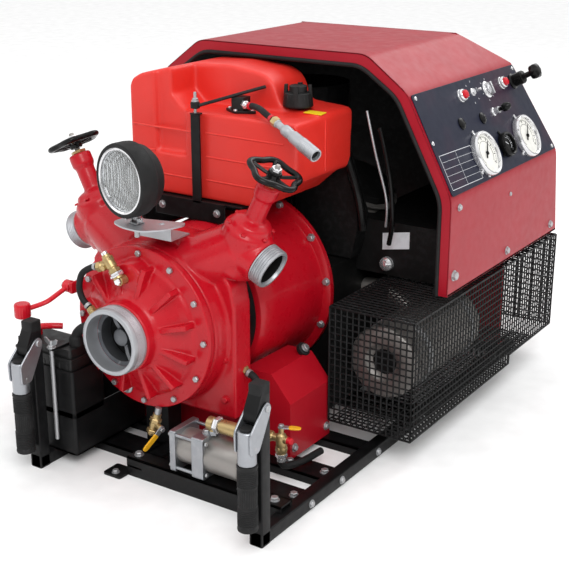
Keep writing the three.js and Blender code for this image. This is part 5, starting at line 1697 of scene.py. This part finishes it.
def add_lever(word, pivot, axis, arm):
    """A pressed lever in a vinyl sleeve, held by a nut on the valve's stem."""
    along = arm.normalized()
    side = axis.cross(along).normalized()
    start = pivot + axis * 0.6
    steel = Form()
    profile = [(-6, -5), (6, -6), (22, -4.4), (22, 4.4), (6, 6), (-6, 5)]
    steel.prism([start + along * a + side * b for a, b in rounded(profile, 3)], (0, 0, 0), axis * 2.4)
    steel.bolt(start + axis * 2.2, axis, 9, 5, washer=False)
    piece(f"{word}_lever_plate", steel, ZINC, f"{word}_lever_body", bevel=0.3)
    sleeve = Form()
    reach = arm.length
    section = rect(-5.4, 5.4, -0.6, 3.2)
    rings = []
    for a, scale in ((14, 0.86), (16, 1), (reach - 10, 1), (reach - 4, 0.92), (reach, 0.6)):
        rings.append(
            [start + along * a + side * b * scale + axis * (1.3 + (c - 1.3) * scale) for b, c in section]
        )
    sleeve.shell(rings)
    for k in range(6):
        at = start + along * (18 + k * (reach - 28) / 5)
        sleeve.tube([at + side * -5.7 + axis * 1.3, at + side * 5.7 + axis * 1.3], 2.2, 8)
    piece(
        f"{word}_lever_sleeve", sleeve, YELLOW, f"{word}_lever_body", [f"{word}_lever"], "lever_yellow",
        bevel=0.9,
    )


def add_primer_valve():
    x, y, z = 216, back(206), 104
    body = Form()
    body.turned(
        [
            (0, 54), (8, 54), (8.6, 55), (8.6, 62), (10, 64), (10, 98), (8, 102), (5, 104), (5, 114),
            (0, 114),
        ],
        (x, y, 0), UP, 40,
    )
    body.turned([(0, 66), (10.6, 66), (11.4, 67), (11.4, 76), (10.6, 77), (0, 77)], (x, y, 0), UP, 6)
    body.turned(
        [(0, 186), (8, 186), (9, 187), (9, 197), (7.4, 199), (7.4, 230), (0, 230)], (0, y, 92), RIGHT,
        32,
    )
    body.turned(rect(0, 10.4, 188, 196), (0, y, 92), RIGHT, 6)
    piece("primer_valve_skin", body, BRASS, stands_for=["primer_valve"], bevel=0.5)
    add_lever("primer", Vector((x, y, z + 10)), UP, Vector((34, 14, 0)))
    tips = Form().turned([(0, 229.5), (7, 229.5), (7, 238), (5, 240), (0, 240)], (0, y, 92), RIGHT, 24)
    piece("primer_valve_plug", tips, RED_PLASTIC, bevel=0)
    nut = Form().turned([(0, 55), (10.6, 55), (11.4, 56), (11.4, 63), (0, 63)], (x, y, 0), UP, 6)
    nut.turned(rect(7.2, 8.2, 47, 53.6), (x, y, 0), UP, 24)
    piece("primer_valve_nut", nut, CHROME, slot="bright_steel", bevel=0.4)


def add_manifold():
    y = back(90)
    body = Form()
    start, end = Vector((-88, y, 424)), Vector((-58, y, 384))
    axis = (end - start).normalized()
    body.turned(
        [
            (0, 0), (7, 0), (8, 1), (8, 5), (10, 7), (10, 26), (8.4, 28), (8.4, 36), (10, 38), (10, 50),
            (0, 50),
        ],
        start, axis, 40,
    )
    body.turned(rect(0, 11, 6, 14), start, axis, 6)
    body.turned(rect(0, 11.4, 30, 37), start, axis, 6)
    left, right = Vector((-108, y, 398)), Vector((-74, y, 406))
    body.turned([(0, 0), (7, 0), (9, 1.6), (9, 13), (7.4, 15), (7.4, 35), (0, 35)], left, (right - left), 32)
    body.turned(rect(0, 10.4, 3, 11), left, (right - left), 6)
    body.rod((-86, y - 12, 401), (-86, y + 2, 401), 5, sides=20, chamfer=0.6)
    body.rod((-56, y - 4, 380), (-56, back(103.6), 380), 9, sides=32, chamfer=0.6)
    piece("manifold_skin", body, BRASS, stands_for=["brass_manifold"], bevel=0.5)
    bright = Form()
    bright.turned([(0, 38), (12.4, 38), (13.2, 39), (13.2, 45), (12.4, 46), (0, 46)], start, axis, 6)
    bright.rod(start - axis * 6, start + axis * 1, 6, sides=24, chamfer=0.8)
    bright.bolt((-56, y - 4, 380), FORWARD, 13, 5, washer=False)
    piece("manifold_nuts", bright, CHROME, bevel=0.5)
    elbow = Form()
    tip = Vector(LINES["line_gauge"][1][-1])
    along = (tip - Vector(LINES["line_gauge"][1][-2])).normalized()
    elbow.turned(
        [(0, 0.4), (7.4, 0.4), (8.4, 1.2), (8.4, 9), (7.4, 10), (6, 10), (6, 14), (0, 14)], tip, along, 6,
    )
    turn = tip + along * 15
    elbow.turned(
        [(0, -7), (7.6, -7), (8.4, -6), (8.4, 6), (7, 8), (7, 34), (0, 34)], (turn.x, turn.y, turn.z),
        BACKWARD, 24,
    )
    piece("gauge_elbow", elbow, BRASS, bevel=0.5)


def add_line_fittings():
    start = Vector(LINES["line_primer"][1][0])
    along = (Vector(LINES["line_primer"][1][1]) - start).normalized()
    form = Form().turned(
        [(0, -12), (9, -12), (9.6, -11), (9.6, -4), (8, -3), (8, -0.4), (0, -0.4)], start, along, 6,
    )
    piece("primer_nipple", form, BRASS, bevel=0.4)
    clips = Form()
    for name, at, span in (
        ("line_primer", 0, 1), ("line_primer", -1, -1), ("line_gauge", 0, 1), ("line_gauge", -1, -1),
    ):
        radius, points = LINES[name]
        path = smooth_path(points, 5)
        first, second = path[at], path[at + 2 * span]
        axis = (second - first).normalized()
        clips.turned(rect(radius + 0.1, radius + 1.1, 2, 8), first, axis, 32)
    piece("line_clips", clips, ZINC, bevel=0)


def add_primer_arm():
    x, y, z = -216, back(124), 330
    form = Form()
    form.rod((x - 9, y, z), (x + 7, y, z), 12, sides=40, chamfer=1)
    path = [
        (x - 2, y, z), (x - 4, back(98), z - 8), (x - 6, back(70), z - 16), (-238, back(54), 306),
        (-254, back(40), 300),
    ]
    form.tube(smooth_path(path, 6), 5.4, 20, flat=0.8)
    rings = []
    for height, radius in ((0, 13.4), (1.4, 15), (4, 15.8), (24, 15.8), (26.6, 15), (28, 13)):
        fluted = lambda angle, r=radius: r - 0.5 * abs(math.sin(9 * angle))
        rings.append(circle(Vector((-254, back(36), 286 + height)), RIGHT, BACKWARD, fluted, 96))
    form.shell(rings)
    piece("primer_arm_skin", form, RED_PLASTIC, "primer_arm_body", ["primer_arm"], "lever_red", bevel=0)
    dark = Form().turned(rect(0, 11, 285.2, 286.4), (-254, back(36), 0), UP, 32)
    piece("primer_arm_end", dark, INNER_BLACK, "primer_arm_body", bevel=0)
    hub = Form().bolt((x - 9, y, z), (-1, 0, 0), 12, 7)
    piece("primer_arm_bolt", hub, ZINC, "primer_arm_body", bevel=0.4)


add_tank()
add_cap()
add_bracket()
add_pickup()
add_battery()
add_priming()
add_drain()
add_primer_valve()
add_manifold()
add_line_fittings()
add_primer_arm()
